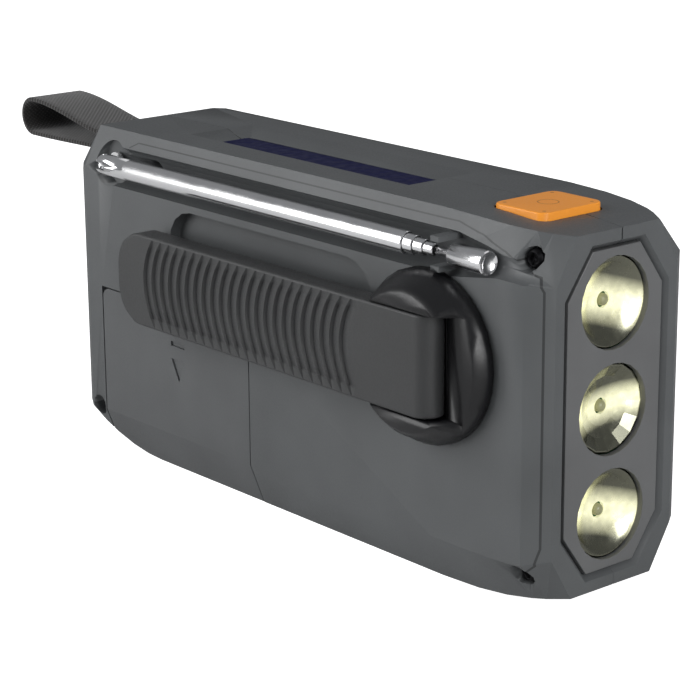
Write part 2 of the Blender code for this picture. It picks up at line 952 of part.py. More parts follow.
def crank_hub():
    """A round hub with a slot for the handle, and a ramp at the slot's far end."""
    shoulder = hub_top_radius + (hub_radius - hub_top_radius) * 0.7
    neck = hub_top_radius + (hub_radius - hub_top_radius) * 0.35
    low_rise = hub_rise * 0.25
    mid_rise = hub_rise * 0.53
    profile = [
        (0, hub_shaft_end_y),
        (crank_shaft_radius, hub_shaft_end_y),
        (crank_shaft_radius, hub_boss_y),
        (hub_boss_radius, hub_boss_y),
        (hub_boss_radius, hub_base_y),
        (hub_radius, hub_base_y),
        (hub_radius, back_y - low_rise),
        (shoulder, back_y - mid_rise),
        (shoulder - (shoulder - neck) / 3, back_y - mid_rise * 1.1),
        (neck, hub_top_y + hub_rise * 0.16),
        (hub_top_radius + (neck - hub_top_radius) / 3, hub_top_y + hub_rise * 0.03),
        (hub_top_radius, hub_top_y),
        (0, hub_top_y),
    ]
    hub = turned("crank_hub", "Y", (hub_x, 0, hub_z), profile, "crank_black", 28)
    barrel = handle_barrel_radius + running_gap
    left = hub_x - hub_radius - overrun
    right = hub_x + hub_radius + overrun
    ramp_x = hub_x + hub_radius * 0.86
    ramp_y = back_y - hub_ramp_rise
    slope = (ramp_y - hub_floor_y) / (ramp_x - handle_pin_x - barrel)
    floor = arc(pin_axis, barrel, 30, 150, 6)[::-1]
    slot_low = hub_top_y - overrun
    channel = [(left, slot_low), (left, hub_floor_y)]
    channel += [(handle_pin_x - barrel, hub_floor_y)]
    channel += floor
    channel += [(handle_pin_x + barrel, hub_floor_y), (right, ramp_y + slope * (right - ramp_x))]
    channel += [(right, slot_low)]
    slot = prism("hub_slot", "XY", [channel], hub_z - slot_half, hub_z + slot_half)
    pin_hole_half = math.sqrt(hub_radius**2 - (handle_pin_x - hub_x) ** 2) * 0.86
    pin_hole = rod(
        "hub_pin_hole",
        "Z",
        (handle_pin_x, pin_y, hub_z - pin_hole_half),
        2 * pin_hole_half,
        hinge_pin_radius + bore_gap,
    )
    pilot_radius = axle_radius + bore_gap
    pilot = bore("hub_pilot", hub_centre, pilot_radius, hub_boss_y - gear_spacing, hub_shaft_end_y + overrun)
    cut(hub, slot, pin_hole, pilot)
    return smooth(hub)


def hinge_pin():
    """The steel pin across the slot, which the handle folds on."""
    half = slot_half + hub_radius / 20
    start = (handle_pin_x, pin_y, hub_z - half)
    return smooth(rod("hinge_pin", "Z", start, 2 * half, hinge_pin_radius, "steel"))


def crank_handle():
    """The flat grip with cross ribs and a barrel that turns on the pin."""
    tip_x = hub_x - handle_length
    half = handle_width / 2
    r = handle_corner_radius
    outline = [(handle_pin_x, hub_z - half), (handle_pin_x, hub_z + half)]
    outline += arc((tip_x + r, hub_z + half - r), r, 90, 180, 5)
    outline += arc((tip_x + r, hub_z - half + r), r, 180, 270, 5)
    grip = prism("crank_handle", "XZ", [outline], hub_top_y, handle_inner_y, "grip_grey")
    barrel_start = (handle_pin_x, pin_y, hub_z - half)
    barrel = rod("handle_barrel", "Z", barrel_start, handle_width, handle_barrel_radius, None, 24)
    hole_start = (handle_pin_x, pin_y, hub_z - half - overrun)
    hole_radius = hinge_pin_radius + bore_gap
    hole = rod("handle_bore", "Z", hole_start, handle_width + 2 * overrun, hole_radius)
    grooves = []
    half_angle = math.degrees(math.asin(min(1.0, (half - rib_land) / first_rib_radius)))
    groove_width = rib_pitch - rib_land
    for rib in range(rib_count):
        centre = (hub_x - rib * rib_pitch, hub_z)
        outer = first_rib_radius + groove_width
        grooves.append(
            arc(centre, first_rib_radius, 180 - half_angle, 180 + half_angle, 3)
            + arc(centre, outer, 180 + half_angle, 180 - half_angle, 3)
        )
    ribs = prism("handle_ribs", "XZ", grooves, hub_top_y - overrun, hub_top_y + rib_depth)
    join(grip, barrel)
    return cut(grip, hole, ribs)


def hub_screw():
    """The screw that holds the drive gear on the hub's shaft."""
    seat = hub_shaft_end_y + piece_gap
    head = crank_shaft_radius * 0.86
    profile = [
        (0, seat + gear_spacing),
        (head * 0.7, seat + gear_spacing),
        (head, seat + gear_spacing / 2),
        (head, seat),
        (axle_radius, seat),
        (axle_radius, hub_boss_y),
        (0, hub_boss_y),
    ]
    return smooth(turned("hub_screw", "Y", (hub_x, 0, hub_z), profile, "steel", small_sides))


# Gear frame, axles and generator
drive_radius = first_module * drive_teeth / 2
frame_post_shares = ((-3.097, -0.131), (-2.642, -1.381), (0.426, -1.494), (-0.881, 1.006))
frame_posts = [
    (hub_x + across * drive_radius, hub_z + up * drive_radius) for across, up in frame_post_shares
]
post_radius = 0.0026
frame_edge = 0.0042
axle_inset = 0.0030
magnet_radius = 0.0085
magnet_gap = 0.0010


def gear_frame():
    """The plate that carries the far ends of the axles and the generator."""
    circles = [(x, z, frame_edge) for x, z in frame_posts]
    circles.append((hub_x, hub_z, frame_edge))
    high = frame_y + frame_thickness
    plate = prism("gear_frame", "XZ", [hull(circles)], frame_y, high, "gear_white")
    for number, centre in enumerate((first_centre, second_centre)):
        radius = axle_radius + bore_gap
        cut(plate, bore(f"frame_hole_{number}", centre, radius, frame_y - overrun, high + overrun))
    rotor_radius = axle_radius + 2 * bore_gap
    return cut(plate, bore("frame_rotor_hole", rotor_centre, rotor_radius, frame_y - overrun, high + overrun))


def axle(name, centre, post_end_y):
    """A steel pin from its post in the rear shell to the gear frame."""
    start = (centre[0], post_end_y - axle_inset, centre[1])
    length = frame_y + frame_thickness - start[1]
    return smooth(rod(name, "Y", start, length, axle_radius, "steel", 12))


first_post_y = gear_1_y - piece_gap
second_post_y = gear_2_y - piece_gap
generator_y = frame_y + frame_thickness + piece_gap


def generator_can():
    """The generator's steel can, closed at its far end."""
    low = generator_y
    hole = axle_radius + 2 * bore_gap
    centre = (rotor_centre[0], 0, rotor_centre[1])
    body = rod(
        "generator_can", "Y", (centre[0], low, centre[2]), generator_length, generator_radius, "steel", 20
    )
    soften(body, generator_wall / 2)
    inner_radius = generator_radius - generator_wall
    inner_length = generator_length - 2 * generator_wall
    inner = rod(
        "generator_space", "Y", (centre[0], low + generator_wall, centre[2]), inner_length, inner_radius, None, 20
    )
    opening = bore("generator_opening", rotor_centre, hole, low - overrun, low + 2 * generator_wall)
    return smooth(cut(body, inner, opening))


def generator_rotor():
    """The pinion, shaft and magnet drum that turn in the generator."""
    low = gear_3_y
    drum_low = generator_y + generator_wall + magnet_gap
    drum_high = generator_y + generator_length - generator_wall - magnet_gap
    pinion = toothed(
        "generator_rotor", rotor_centre, pinion_teeth, third_module, rotor_phase, low, low + gear_width, "brass"
    )
    shaft_low = low + gear_width / 2
    shaft = bore("rotor_shaft", rotor_centre, axle_radius, shaft_low, drum_high - magnet_gap, 12)
    drum = bore("rotor_drum", rotor_centre, magnet_radius, drum_low, drum_high, 24)
    return join(pinion, shaft, drum)


# Aerial: stud, knuckle, pin, four tubes and the rod with its tip
disc_face_y = aerial_y + aerial_radius + running_gap
disc_inner_y = disc_face_y + stud_disc_thickness
stud_end_y = disc_inner_y + stud_shaft_length
pivot = (aerial_pivot_x, aerial_z)
tube_radii = [aerial_radius - step * (aerial_tube_wall + aerial_slide_gap) for step in range(5)]
rod_radius = tube_radii[4]
knuckle_left_x = aerial_pivot_x - aerial_radius
knuckle_right_x = knuckle_left_x + aerial_knuckle_length
plug_length = 2 * aerial_radius
tube_start_x = knuckle_right_x + plug_length + piece_gap


def aerial_stud():
    """A round stud that swivels in the housing's back face, with a tongue on its disc."""
    profile = [
        (0, disc_face_y),
        (aerial_radius, disc_face_y),
        (aerial_radius, disc_inner_y),
        (stud_shaft_radius, disc_inner_y),
        (stud_shaft_radius, stud_end_y),
        (0, stud_end_y),
    ]
    stud = turned("aerial_stud", "Y", (aerial_pivot_x, 0, aerial_z), profile, "chrome", 20)
    half = tongue_thickness / 2
    reach = aerial_radius * 0.75
    root_y = (disc_face_y + disc_inner_y) / 2
    tongue_outline = [(aerial_pivot_x - reach, root_y), (aerial_pivot_x + reach, root_y)]
    tongue_outline += arc((aerial_pivot_x, aerial_y), reach, 0, -180, 8)
    tongue = prism("stud_tongue", "XY", [tongue_outline], aerial_z - half, aerial_z + half)
    join(stud, tongue)
    return smooth(cut(stud, aerial_pin_hole("stud_hole")))


def aerial_pin_hole(name):
    """The upright hole for the pin at the aerial's pivot."""
    start = (aerial_pivot_x, aerial_y, aerial_z - overrun)
    return rod(name, "Z", start, 2 * overrun, aerial_pin_radius + bore_gap)


def aerial_knuckle():
    """The forked end of the aerial, plugged into its widest tube."""
    r = aerial_radius
    rounding = arc((0, knuckle_left_x + r), r, 270, 360, 5)
    profile = [(0, knuckle_right_x + plug_length)]
    profile += [(tube_radii[1], knuckle_right_x + plug_length), (tube_radii[1], knuckle_right_x)]
    profile += [(r, knuckle_right_x), (r, knuckle_left_x + r)]
    profile += [(radius, height) for radius, height in rounding[::-1][1:-1]]
    profile += [(0, knuckle_left_x)]
    knuckle = turned("aerial_knuckle", "X", (0, aerial_y, aerial_z), profile, "chrome", 20)
    half = tongue_thickness / 2 + running_gap / 2
    slot_end = aerial_pivot_x + r
    slot = block(
        "knuckle_slot",
        (knuckle_left_x - overrun, aerial_y - overrun, aerial_z - half),
        (slot_end, aerial_y + overrun, aerial_z + half),
    )
    return smooth(cut(knuckle, slot, aerial_pin_hole("knuckle_hole")))


def aerial_pin():
    """The small pin through the fork and the tongue."""
    start = (aerial_pivot_x, aerial_y, aerial_z - aerial_radius)
    return smooth(rod("aerial_pin", "Z", start, 2 * aerial_radius, aerial_pin_radius, "chrome", 12))


def aerial_tube(number):
    """One tube: each is narrower than the one before and stands out of it by a step."""
    outer = tube_radii[number - 1]
    inner = outer - aerial_tube_wall
    start = knuckle_right_x + piece_gap if number == 1 else tube_start_x + number * aerial_step
    end = aerial_tube_end_x + (number - 1) * aerial_step
    lip = aerial_tube_wall / 2
    profile = [(outer - lip, end), (outer, end - lip), (outer, start), (inner, start), (inner, end)]
    tube = turned(
        f"aerial_tube_{number}", "X", (0, aerial_y, aerial_z), profile, "chrome", 20, closed=True
    )
    return smooth(tube)


def aerial_rod():
    """The innermost rod, with the turned tip that is pulled to draw the aerial out."""
    start = tube_start_x + 5 * aerial_step
    end = aerial_tip_x + aerial_tip_length
    r = aerial_tip_radius
    dish = r / 3
    profile = [
        (0, end - dish),
        (r * 0.8, end - dish / 2),
        (r * 0.92, end),
        (r, end - dish / 3),
        (r, aerial_tip_x + r / 2),
        (rod_radius + (r - rod_radius) / 3, aerial_tip_x),
        (rod_radius, aerial_tip_x),
        (rod_radius, start),
        (0, start),
    ]
    return smooth(turned("aerial_rod", "X", (0, aerial_y, aerial_z), profile, "chrome", 20))


# Rear shell
def rear_solids():
    """What stays solid inside the rear shell: walls behind recesses, posts and the bay."""
    into_wall = back_y - overrun
    solids = []
    wall_radius = aerial_trough_radius + aerial_trough_wall
    trough_left = aerial_pivot_x - aerial_pocket_radius - aerial_trough_wall
    solids.append(
        rod(
            "trough_wall",
            "X",
            (trough_left, aerial_y, aerial_z),
            lamp_x - trough_left,
            wall_radius,
            None,
            24,
        )
    )
    pocket_wall = aerial_pocket_radius + aerial_trough_wall
    stud_block_end_y = strap_y - strap_width / 2 - running_gap
    solids.append(bore("stud_block", pivot, pocket_wall, into_wall, stud_block_end_y, 24))
    ledge_y = back_y + door_thickness + 2 * piece_gap + bay_wall
    solids.append(
        block(
            "door_ledge",
            (door_left - bay_wall, into_wall, -overrun),
            (door_right + bay_wall, ledge_y, door_height + bay_wall),
        )
    )
    solids.append(
        block(
            "bay_block",
            (pocket_left - bay_wall, into_wall, -overrun),
            (pocket_right + bay_wall, back_y + bay_depth + bay_wall, pocket_high + bay_wall),
        )
    )
    solids.append(
        block(
            "scoop_block",
            (scoop_left - bay_wall, into_wall, scoop_low - bay_wall),
            (scoop_right + bay_wall, back_y + scoop_depth + bay_wall, scoop_high + bay_wall),
        )
    )
    collar_radius = hub_boss_radius + running_gap + wall
    solids.append(bore("hub_collar", hub_centre, collar_radius, into_wall, hub_boss_y, 40))
    for number, (x, z, face_y, front_radius) in enumerate(screws, 1):
        end_y = screw_seat(face_y) + screw_floor
        solids.append(bore(f"rear_post_{number}", (x, z), screw_post_radius, into_wall, end_y))
    for number, centre in enumerate(frame_posts, 1):
        end_y = frame_y - piece_gap
        solids.append(bore(f"frame_post_{number}", centre, post_radius, into_wall, end_y))
    solids.append(bore("axle_post_1", first_centre, post_radius, into_wall, first_post_y))
    solids.append(bore("axle_post_2", second_centre, post_radius, into_wall, second_post_y))
    solids.append(switch_shelf())
    solids += shared_solids("rear")
    return solids


scoop_left = -0.0400
scoop_right = 0.0300
scoop_low = hub_z - scoop_below
scoop_high = hub_z + scoop_above
scoop_depth = 0.0028
scoop_corner = 0.0080
switch_size = 0.0060
switch_height = 0.0038
switch_play = 0.0003
call_base_z = call_top - call_thickness
call_under_z = body_height - wall - rim_drop / 2 - running_gap - call_flange
switch_top_z = call_under_z - call_travel - switch_play
shelf_thickness = 0.0014
call_gap_z = body_height - 2 * wall - rim_drop


def switch_shelf():
    """The shelf under the call button, which holds its switch."""
    top = switch_top_z - switch_height - piece_gap
    half = switch_size / 2
    low = (call_x - half, back_y, top - shelf_thickness)
    return block("switch_shelf", low, (call_x + half, call_y + half, top))


def shared_solids(side):
    """What stays solid in both halves: the sun panel's tray and the strap end's block."""
    tray_bottom = body_height - panel_setback - panel_thickness - piece_gap - panel_backing
    tray = block(
        f"panel_tray_{side}",
        (
            panel_x - panel_length / 2 - panel_recess_left - panel_backing,
            panel_y - panel_width / 2 - panel_recess_near - panel_backing,
            tray_bottom,
        ),
        (
            panel_x + panel_length / 2 + panel_recess_right + panel_backing,
            panel_y + panel_width / 2 + panel_recess_far + panel_backing,
            body_height + overrun,
        ),
    )
    socket_block = block(
        f"socket_block_{side}",
        (
            strap_x - overrun,
            flap_y - flap_width / 2 - end_wall / 2,
            flap_z - flap_height / 2 - end_wall / 2,
        ),
        (
            strap_x + flap_recess + socket_length + piece_gap,
            flap_y + flap_width / 2 + end_wall / 2,
            flap_z + flap_height / 2 + end_wall / 2,
        ),
    )
    ear_half = strap_width / 2 + running_gap
    ears = []
    for number, (low, high) in enumerate(
        ((strap_y - ear_half - ear_wall, strap_y - ear_half), (strap_y + ear_half, strap_y + ear_half + ear_wall))
    ):
        ears.append(
            block(
                f"strap_ear_{side}_{number}",
                (strap_x - overrun, low, strap_z - strap_ear),
                (strap_pin_x + strap_ear, high, body_height + overrun),
            )
        )
    return [tray, socket_block] + ears


flap_recess = 0.0034
flap_inset = 0.0008
strap_end_x = strap_x + end_taper * (strap_z - body_height + end_taper_height) / end_taper_height
strap_pin_x = strap_end_x + end_wall + strap_pin_inset
strap_ear = 0.0030
ear_wall = 0.0024


def panel_cutters():
    """The slanted recess round the sun panel and the pocket that holds it."""
    left = panel_x - panel_length / 2
    right = panel_x + panel_length / 2
    near = panel_y - panel_width / 2
    far = panel_y + panel_width / 2
    floor_z = body_height - panel_setback
    rise_share = 1 + overrun / panel_setback
    low_ring = []
    high_ring = []
    corners = ((right, far), (left, far), (left, near), (right, near))
    spread = (
        (panel_recess_right, panel_recess_far),
        (-panel_recess_left, panel_recess_far),
        (-panel_recess_left, -panel_recess_near),
        (panel_recess_right, -panel_recess_near),
    )
    for (x, y), (dx, dy) in zip(corners, spread):
        gap_x = math.copysign(piece_gap, dx)
        gap_y = math.copysign(piece_gap, dy)
        low_ring.append((x + gap_x, y + gap_y, floor_z))
        high_ring.append((x + gap_x + dx * rise_share, y + gap_y + dy * rise_share, body_height + overrun))
    recess = soften(loft("panel_recess", [low_ring, high_ring]), panel_corner_radius, 2, 60)
    pocket_outline = rounded_box(
        panel_x, panel_y, panel_length + 2 * piece_gap, panel_width + 2 * piece_gap, panel_corner_radius / 2, 2
    )
    pocket = prism(
        "panel_pocket", "XY", [pocket_outline], floor_z - panel_thickness - piece_gap, floor_z + overrun / 2
    )
    return [recess, pocket]


def call_hole(margin, low, high, name):
    """The call button's outline, larger by a margin."""
    outline = rounded_box(
        call_x, call_y, call_length + 2 * margin, call_width + 2 * margin, call_corner_radius + margin, 3
    )
    return prism(name, "XY", [outline], low, high)


def strap_end_cutters():
    """The strap's slot, its pin's hole, and the charging socket's recess and slot."""
    half = strap_width / 2 + running_gap
    slot = block(
        "strap_slot",
        (strap_x - overrun, strap_y - half, strap_z - strap_slot_half),
        (strap_pin_x, strap_y + half, strap_z + strap_slot_half),
    )
    pin_half = strap_width / 2 + running_gap + end_wall / 5
    pin_hole = rod(
        "strap_pin_hole",
        "Y",
        (strap_pin_x, strap_y - pin_half - piece_gap, strap_z),
        2 * (pin_half + piece_gap),
        strap_pin_radius + bore_gap,
    )
    recess = block(
        "flap_recess",
        (strap_x - overrun, flap_y - flap_width / 2, flap_z - flap_height / 2),
        (strap_x + flap_recess, flap_y + flap_width / 2, flap_z + flap_height / 2),
    )
    socket_slot = block(
        "socket_slot",
        (
            strap_x + flap_recess - overrun / 4,
            flap_y - socket_width / 2 - piece_gap,
            flap_z - socket_height / 2 - piece_gap,
        ),
        (
            strap_x + flap_recess + socket_length + overrun,
            flap_y + socket_width / 2 + piece_gap,
            flap_z + socket_height / 2 + piece_gap,
        ),
    )
    return [slot, pin_hole, recess, socket_slot]


strap_slot_half = 0.0036


def rear_shell():
    """The crank side's half of the housing."""
    space = cut(copy_of(hollow, "rear_space"), *rear_solids())
    space = meshed("rear_hollow", space)
    shell = copy_of(outer_form, "rear_outer")
    shell.name = "rear_shell"
    cutters.objects.unlink(shell)
    parts.objects.link(shell)
    shell.hide_render = False
    shell.display_type = "TEXTURED"
    shell.data.materials.append(material("housing_grey"))
    front_half = block(
        "front_half",
        (strap_x - overrun, seam_y - piece_gap / 2, -overrun),
        (lamp_x + overrun, front_y + overrun, body_height + overrun),
    )
    cut(shell, front_half, space, lens_recess, lens_lip)
    tip_gap_radius = aerial_tip_radius + piece_gap
    trough_profile = [
        (0, lamp_x + overrun),
        (tip_gap_radius, lamp_x + overrun),
        (tip_gap_radius, aerial_trough_end_x),
        (aerial_trough_radius, aerial_taper_x),
        (aerial_trough_radius, aerial_pivot_x),
        (0, aerial_pivot_x),
    ]
    trough = turned("trough", "X", (0, aerial_y, aerial_z), trough_profile)
    pocket_floor_y = disc_inner_y + running_gap / 2
    pocket = bore("pocket", pivot, aerial_pocket_radius, back_y - overrun, pocket_floor_y, 28)
    stud_gap_radius = stud_shaft_radius + bore_gap
    stud_hole = bore("stud_shaft_hole", pivot, stud_gap_radius, disc_face_y, stud_end_y + piece_gap)
    scoop_outline = rounded_box(
        (scoop_left + scoop_right) / 2,
        (scoop_low + scoop_high) / 2,
        scoop_right - scoop_left,
        scoop_high - scoop_low,
        scoop_corner,
    )
    scoop = prism("scoop", "XZ", [scoop_outline], back_y - overrun, back_y + scoop_depth)
    scoop = soften(scoop, scoop_depth * 0.8, 2, 60)
    door_gap_section = door_section(door_thickness + piece_gap, piece_gap)
    door_space = prism("door_space", "YZ", [door_gap_section], door_left - piece_gap, door_right + piece_gap)
    bay = block(
        "bay",
        (pocket_left, back_y - overrun, pocket_low),
        (pocket_right, back_y + bay_depth, pocket_high),
    )
    hub_hole = bore(
        "hub_hole", hub_centre, hub_boss_radius + running_gap, back_y - overrun, hub_boss_y + overrun, 40
    )
    cut(shell, trough, pocket, stud_hole, scoop, door_space, bay, hub_hole)
    for number, (x, z, face_y, front_radius) in enumerate(screws, 1):
        seat = screw_seat(face_y)
        cut(shell, bore(f"screw_well_{number}", (x, z), screw_hole_radius, back_y - overrun, seat))
        clear = screw_shaft_radius + bore_gap
        post_y = seat + screw_floor
        cut(shell, bore(f"screw_hole_{number}", (x, z), clear, seat - overrun / 4, post_y + overrun / 4))
        post_space = bore(f"post_space_{number}", (x, z), front_radius + piece_gap, post_y, seam_y + overrun)
        cut(shell, post_space)
    hole_radius = axle_radius + bore_gap
    for number, (centre, end_y) in enumerate(((first_centre, first_post_y), (second_centre, second_post_y)), 1):
        low = end_y - axle_inset - piece_gap
        cut(shell, bore(f"axle_hole_{number}", centre, hole_radius, low, end_y + overrun / 4, 12))
    cut(shell, *panel_cutters(), call_hole(running_gap, call_gap_z, body_height + overrun, "call_gap"))
    cut(shell, *strap_end_cutters())
    for sign in (-1, 1):
        inner = aerial_z + sign * (tube_radii[1] + running_gap)
        low, high = sorted((inner, inner + sign * clip_prong))
        prong = block(
            f"clip_prong_{sign + 1}",
            (clip_x - clip_width / 2, clip_front_y, low),
            (clip_x + clip_width / 2, trough_floor_y + aerial_trough_wall / 2, high),
        )
        join(shell, prong)
    return shell


clip_front_y = aerial_y - clip_reach


# Front shell with its grille, window, slots and posts
front_inner_y = front_y - wall


def front_solids():
    """What stays solid inside the front shell."""
    solids = []
    ring_low = front_inner_y - speaker_ring
    solids.append(
        bore("speaker_ring", speaker_centre, speaker_radius + piece_gap + wall / 2, ring_low, front_y, 40)
    )
    window_half = window_length / 2 + wall / 2
    height_half = window_height / 2 + wall / 2
    solids.append(
        block(
            "window_frame",
            (window_x - window_half, front_inner_y - scale_setback, window_z - height_half),
            (window_x + window_half, front_y, window_z + height_half),
        )
    )
    return solids + shared_solids("front")


speaker_centre = (speaker_x, speaker_z)
speaker_ring = 0.0030
scale_setback = 0.0016
scale_thickness = 0.0008
window_lip = 0.0014
grille_radius = 0.0160


def grille_outlines():
    """Rows of round-ended slots that fill a circle over the loudspeaker."""
    outlines = []
    for row in range(grille_rows):
        height = (row - (grille_rows - 1) / 2) * grille_pitch
        half = math.sqrt(grille_radius**2 - min(abs(height), grille_radius * 0.96) ** 2)
        half = max(half, grille_slot)
        outlines.append(
            rounded_box(speaker_x, speaker_z + height, 2 * half, grille_slot, grille_slot / 2.01, 2)
        )
    return outlines


def front_shell():
    """The control side's half of the housing."""
    space = cut(copy_of(hollow, "front_space"), *front_solids())
    ring_space = bore(
        "ring_space", speaker_centre, speaker_radius + piece_gap, middle_depth, front_inner_y, 40
    )
    space = meshed("front_hollow", join(space, ring_space))
    shell = copy_of(outer_form, "front_outer")
    shell.name = "front_shell"
    cutters.objects.unlink(shell)
    parts.objects.link(shell)
    shell.hide_render = False
    shell.display_type = "TEXTURED"
    shell.data.materials.append(material("housing_grey"))
    rear_half = block(
        "rear_half",
        (strap_x - overrun, back_y - overrun, -overrun),
        (lamp_x + overrun, seam_y + piece_gap / 2, body_height + overrun),
    )
    cut(shell, rear_half, space, lens_recess, lens_lip)
    for number, (x, z, face_y, front_radius) in enumerate(screws, 1):
        start = screw_seat(face_y) + screw_floor + piece_gap
        post = bore(f"front_post_{number}", (x, z), front_radius, start, front_y + overrun)
        join(shell, keep_common(post, post_limit))
        pilot = screw_shaft_radius + bore_gap
        cut(shell, bore(f"front_pilot_{number}", (x, z), pilot, start - overrun / 4, start + screw_pilot, 12))
    for number, centre in enumerate(board_pegs, 1):
        start = board_y + board_thickness + piece_gap
        peg = bore(f"board_peg_{number}", centre, board_peg_radius, start, front_y + overrun)
        join(shell, keep_common(peg, post_limit))
    grille = prism("grille", "XZ", grille_outlines(), front_inner_y - overrun / 2, front_y + overrun)
    cut(shell, grille)
    window_seat = rounded_box(window_x, window_z, window_length, window_height, window_corner, 2)
    window_seat_y = front_y - window_thickness - piece_gap
    cut(shell, prism("window_seat", "XZ", [window_seat], window_seat_y, front_y + overrun))
    through = rounded_box(
        window_x, window_z, window_length - 2 * window_lip, window_height - 2 * window_lip, window_corner / 2, 2
    )
    cut(shell, prism("window_through", "XZ", [through], front_inner_y - overrun, front_y + overrun / 2))
    shaft_gap = knob_shaft_radius + running_gap
    for name, x in (("volume", volume_x), ("tuning", tuning_x)):
        cut(shell, bore(name + "_shaft_hole", (x, knob_z), shaft_gap, front_inner_y - overrun, front_y + overrun))
    key_gap = lamp_key_radius + running_gap
    key_centre = (lamp_key_x, lamp_key_z)
    cut(shell, bore("key_hole", key_centre, key_gap, front_inner_y - overrun / 2, front_y + overrun, 24))
    slot_half_length = (band_nub + band_travel) / 2 + running_gap
    slot = block(
        "band_slot",
        (band_x - slot_half_length, front_inner_y - overrun / 2, band_z - band_slot_height / 2),
        (band_x + slot_half_length, front_y + overrun, band_z + band_slot_height / 2),
    )
    cut(shell, slot)
    cut(shell, *panel_cutters(), call_hole(running_gap, call_gap_z, body_height + overrun, "call_gap_front"))
    cut(shell, *strap_end_cutters())
    return shell


middle_depth = seam_y + overrun
window_corner = 0.0015
band_nub = 0.0050
board_left = -0.0125
board_right = 0.0660
board_low = 0.0060
board_high = body_height - board_top_gap
board_peg_radius = 0.0020
board_peg_inset = 0.0035
board_peg_xs = (board_left + board_peg_inset, board_right - board_peg_inset)
board_peg_zs = (board_low + board_peg_inset, board_high - board_peg_inset)
board_pegs = [(x, z) for x in board_peg_xs for z in board_peg_zs]


# Lamp end
lamp_heights = (("top", middle_z + lamp_spacing), ("middle", middle_z), ("bottom", middle_z - lamp_spacing))
cup_front_x = lamp_x - lens_setback - cup_setback
cup_floor_x = cup_front_x - cup_depth
cup_back_x = cup_floor_x - cup_wall
cup_flange_x = lens_back_x - piece_gap
lamp_board_x = hollow_end_x - lamp_board_thickness - piece_gap
led_base_radius = emitter_radius + (emitter_hole_radius - emitter_radius) / 2
lens_y = 0


def lens_plate():
    """The plate over the lamps, with three round holes."""
    plate = prism("lens_plate", "YZ", [lens_outline(0)], lens_back_x, lamp_x - lens_setback, "lens_grey")
    for place, z in lamp_heights:
        hole = rod(
            f"lens_hole_{place}",
            "X",
            (lens_back_x - overrun, lens_y, z),
            lens_thickness + 2 * overrun,
            lamp_hole_radius,
            None,
            24,
        )
        cut(plate, hole)
    return plate


def reflector(place, z):
    """A dished mirror with a flange behind the lens plate and a hole for its lamp."""
    r = cup_radius
    hole = emitter_hole_radius
    flange_low = cup_flange_x - cup_flange_thickness
    profile = [
        (hole, cup_floor_x),
        (r * 0.45, cup_floor_x + cup_depth * 0.16),
        (r * 0.75, cup_floor_x + cup_depth * 0.5),
        (r - cup_wall / 3, cup_front_x),
        (r, cup_front_x),
        (r, cup_flange_x),
        (cup_flange_radius, cup_flange_x),
        (cup_flange_radius, flange_low),
        (r, flange_low),
        (r * 0.72, cup_back_x + cup_wall * 0.6),
        (hole + cup_wall, cup_back_x),
        (hole, cup_back_x),
    ]
    cup = turned(
        f"reflector_{place}", "X", (0, lens_y, z), profile, "cup_silver", 18, closed=True
    )
    return smooth(cup)


def lamp_led(place, z):
    """A lamp on its base, standing in the reflector's hole."""
    base = lamp_board_x + lamp_board_thickness + piece_gap
    top = cup_floor_x + emitter_rise
    r = emitter_radius
    profile = [
        (0, top),
        (r * 0.6, top - r * 0.15),
        (r * 0.92, top - r * 0.45),
        (r, top - r),
        (r, base + r / 2),
        (led_base_radius, base + r / 2),
        (led_base_radius, base),
        (0, base),
    ]
    return smooth(turned(f"lamp_led_{place}", "X", (0, lens_y, z), profile, "emitter_olive", 12))


def lamp_board():
    """The board that the three lamps are soldered to."""
    outline = rounded_box(
        lens_y, middle_z, 2 * lamp_board_half_width, 2 * lamp_board_half_height, screw_radius, 2
    )
    return prism(
        "lamp_board", "YZ", [outline], lamp_board_x, lamp_board_x + lamp_board_thickness, "board_green"
    )


lamp_board_half_width = 0.0110
lamp_board_half_height = 0.0290


# Top: sun panel, call button and its switch
def solar_panel():
    """The glass-topped panel in its pocket."""
    outline = rounded_box(panel_x, panel_y, panel_length, panel_width, panel_corner_radius / 2, 2)
    top = body_height - panel_setback
    return prism("solar_panel", "XY", [outline], top - panel_thickness, top, "cell_blue")


def call_button():
    """The square call button, with a chamfered top and a flange under the wall."""
    head = call_hole(0, call_under_z + call_flange / 2, call_top, "call_button_head")
    soften(head, call_flange * 0.6, 1, 60)
    flange = call_hole(call_flange, call_under_z, call_under_z + call_flange, "call_button_flange")
    button = copy_of(flange, "call_button")
    cutters.objects.unlink(button)
    parts.objects.link(button)
    button.hide_render = False
    button.display_type = "TEXTURED"
    button.data.materials.append(material("call_orange"))
    return join(button, head)


def call_switch():
    """The small switch that the call button presses."""
    half = switch_size / 2
    low = switch_top_z - switch_height
    body = block(
        "call_switch",
        (call_x - half, call_y - half, low),
        (call_x + half, call_y + half, switch_top_z - switch_height / 4),
        "steel",
    )
    plunger_low = low + switch_height / 2
    start = (call_x, call_y, plunger_low)
    return join(body, rod("switch_plunger", "Z", start, switch_top_z - plunger_low, switch_size / 4))


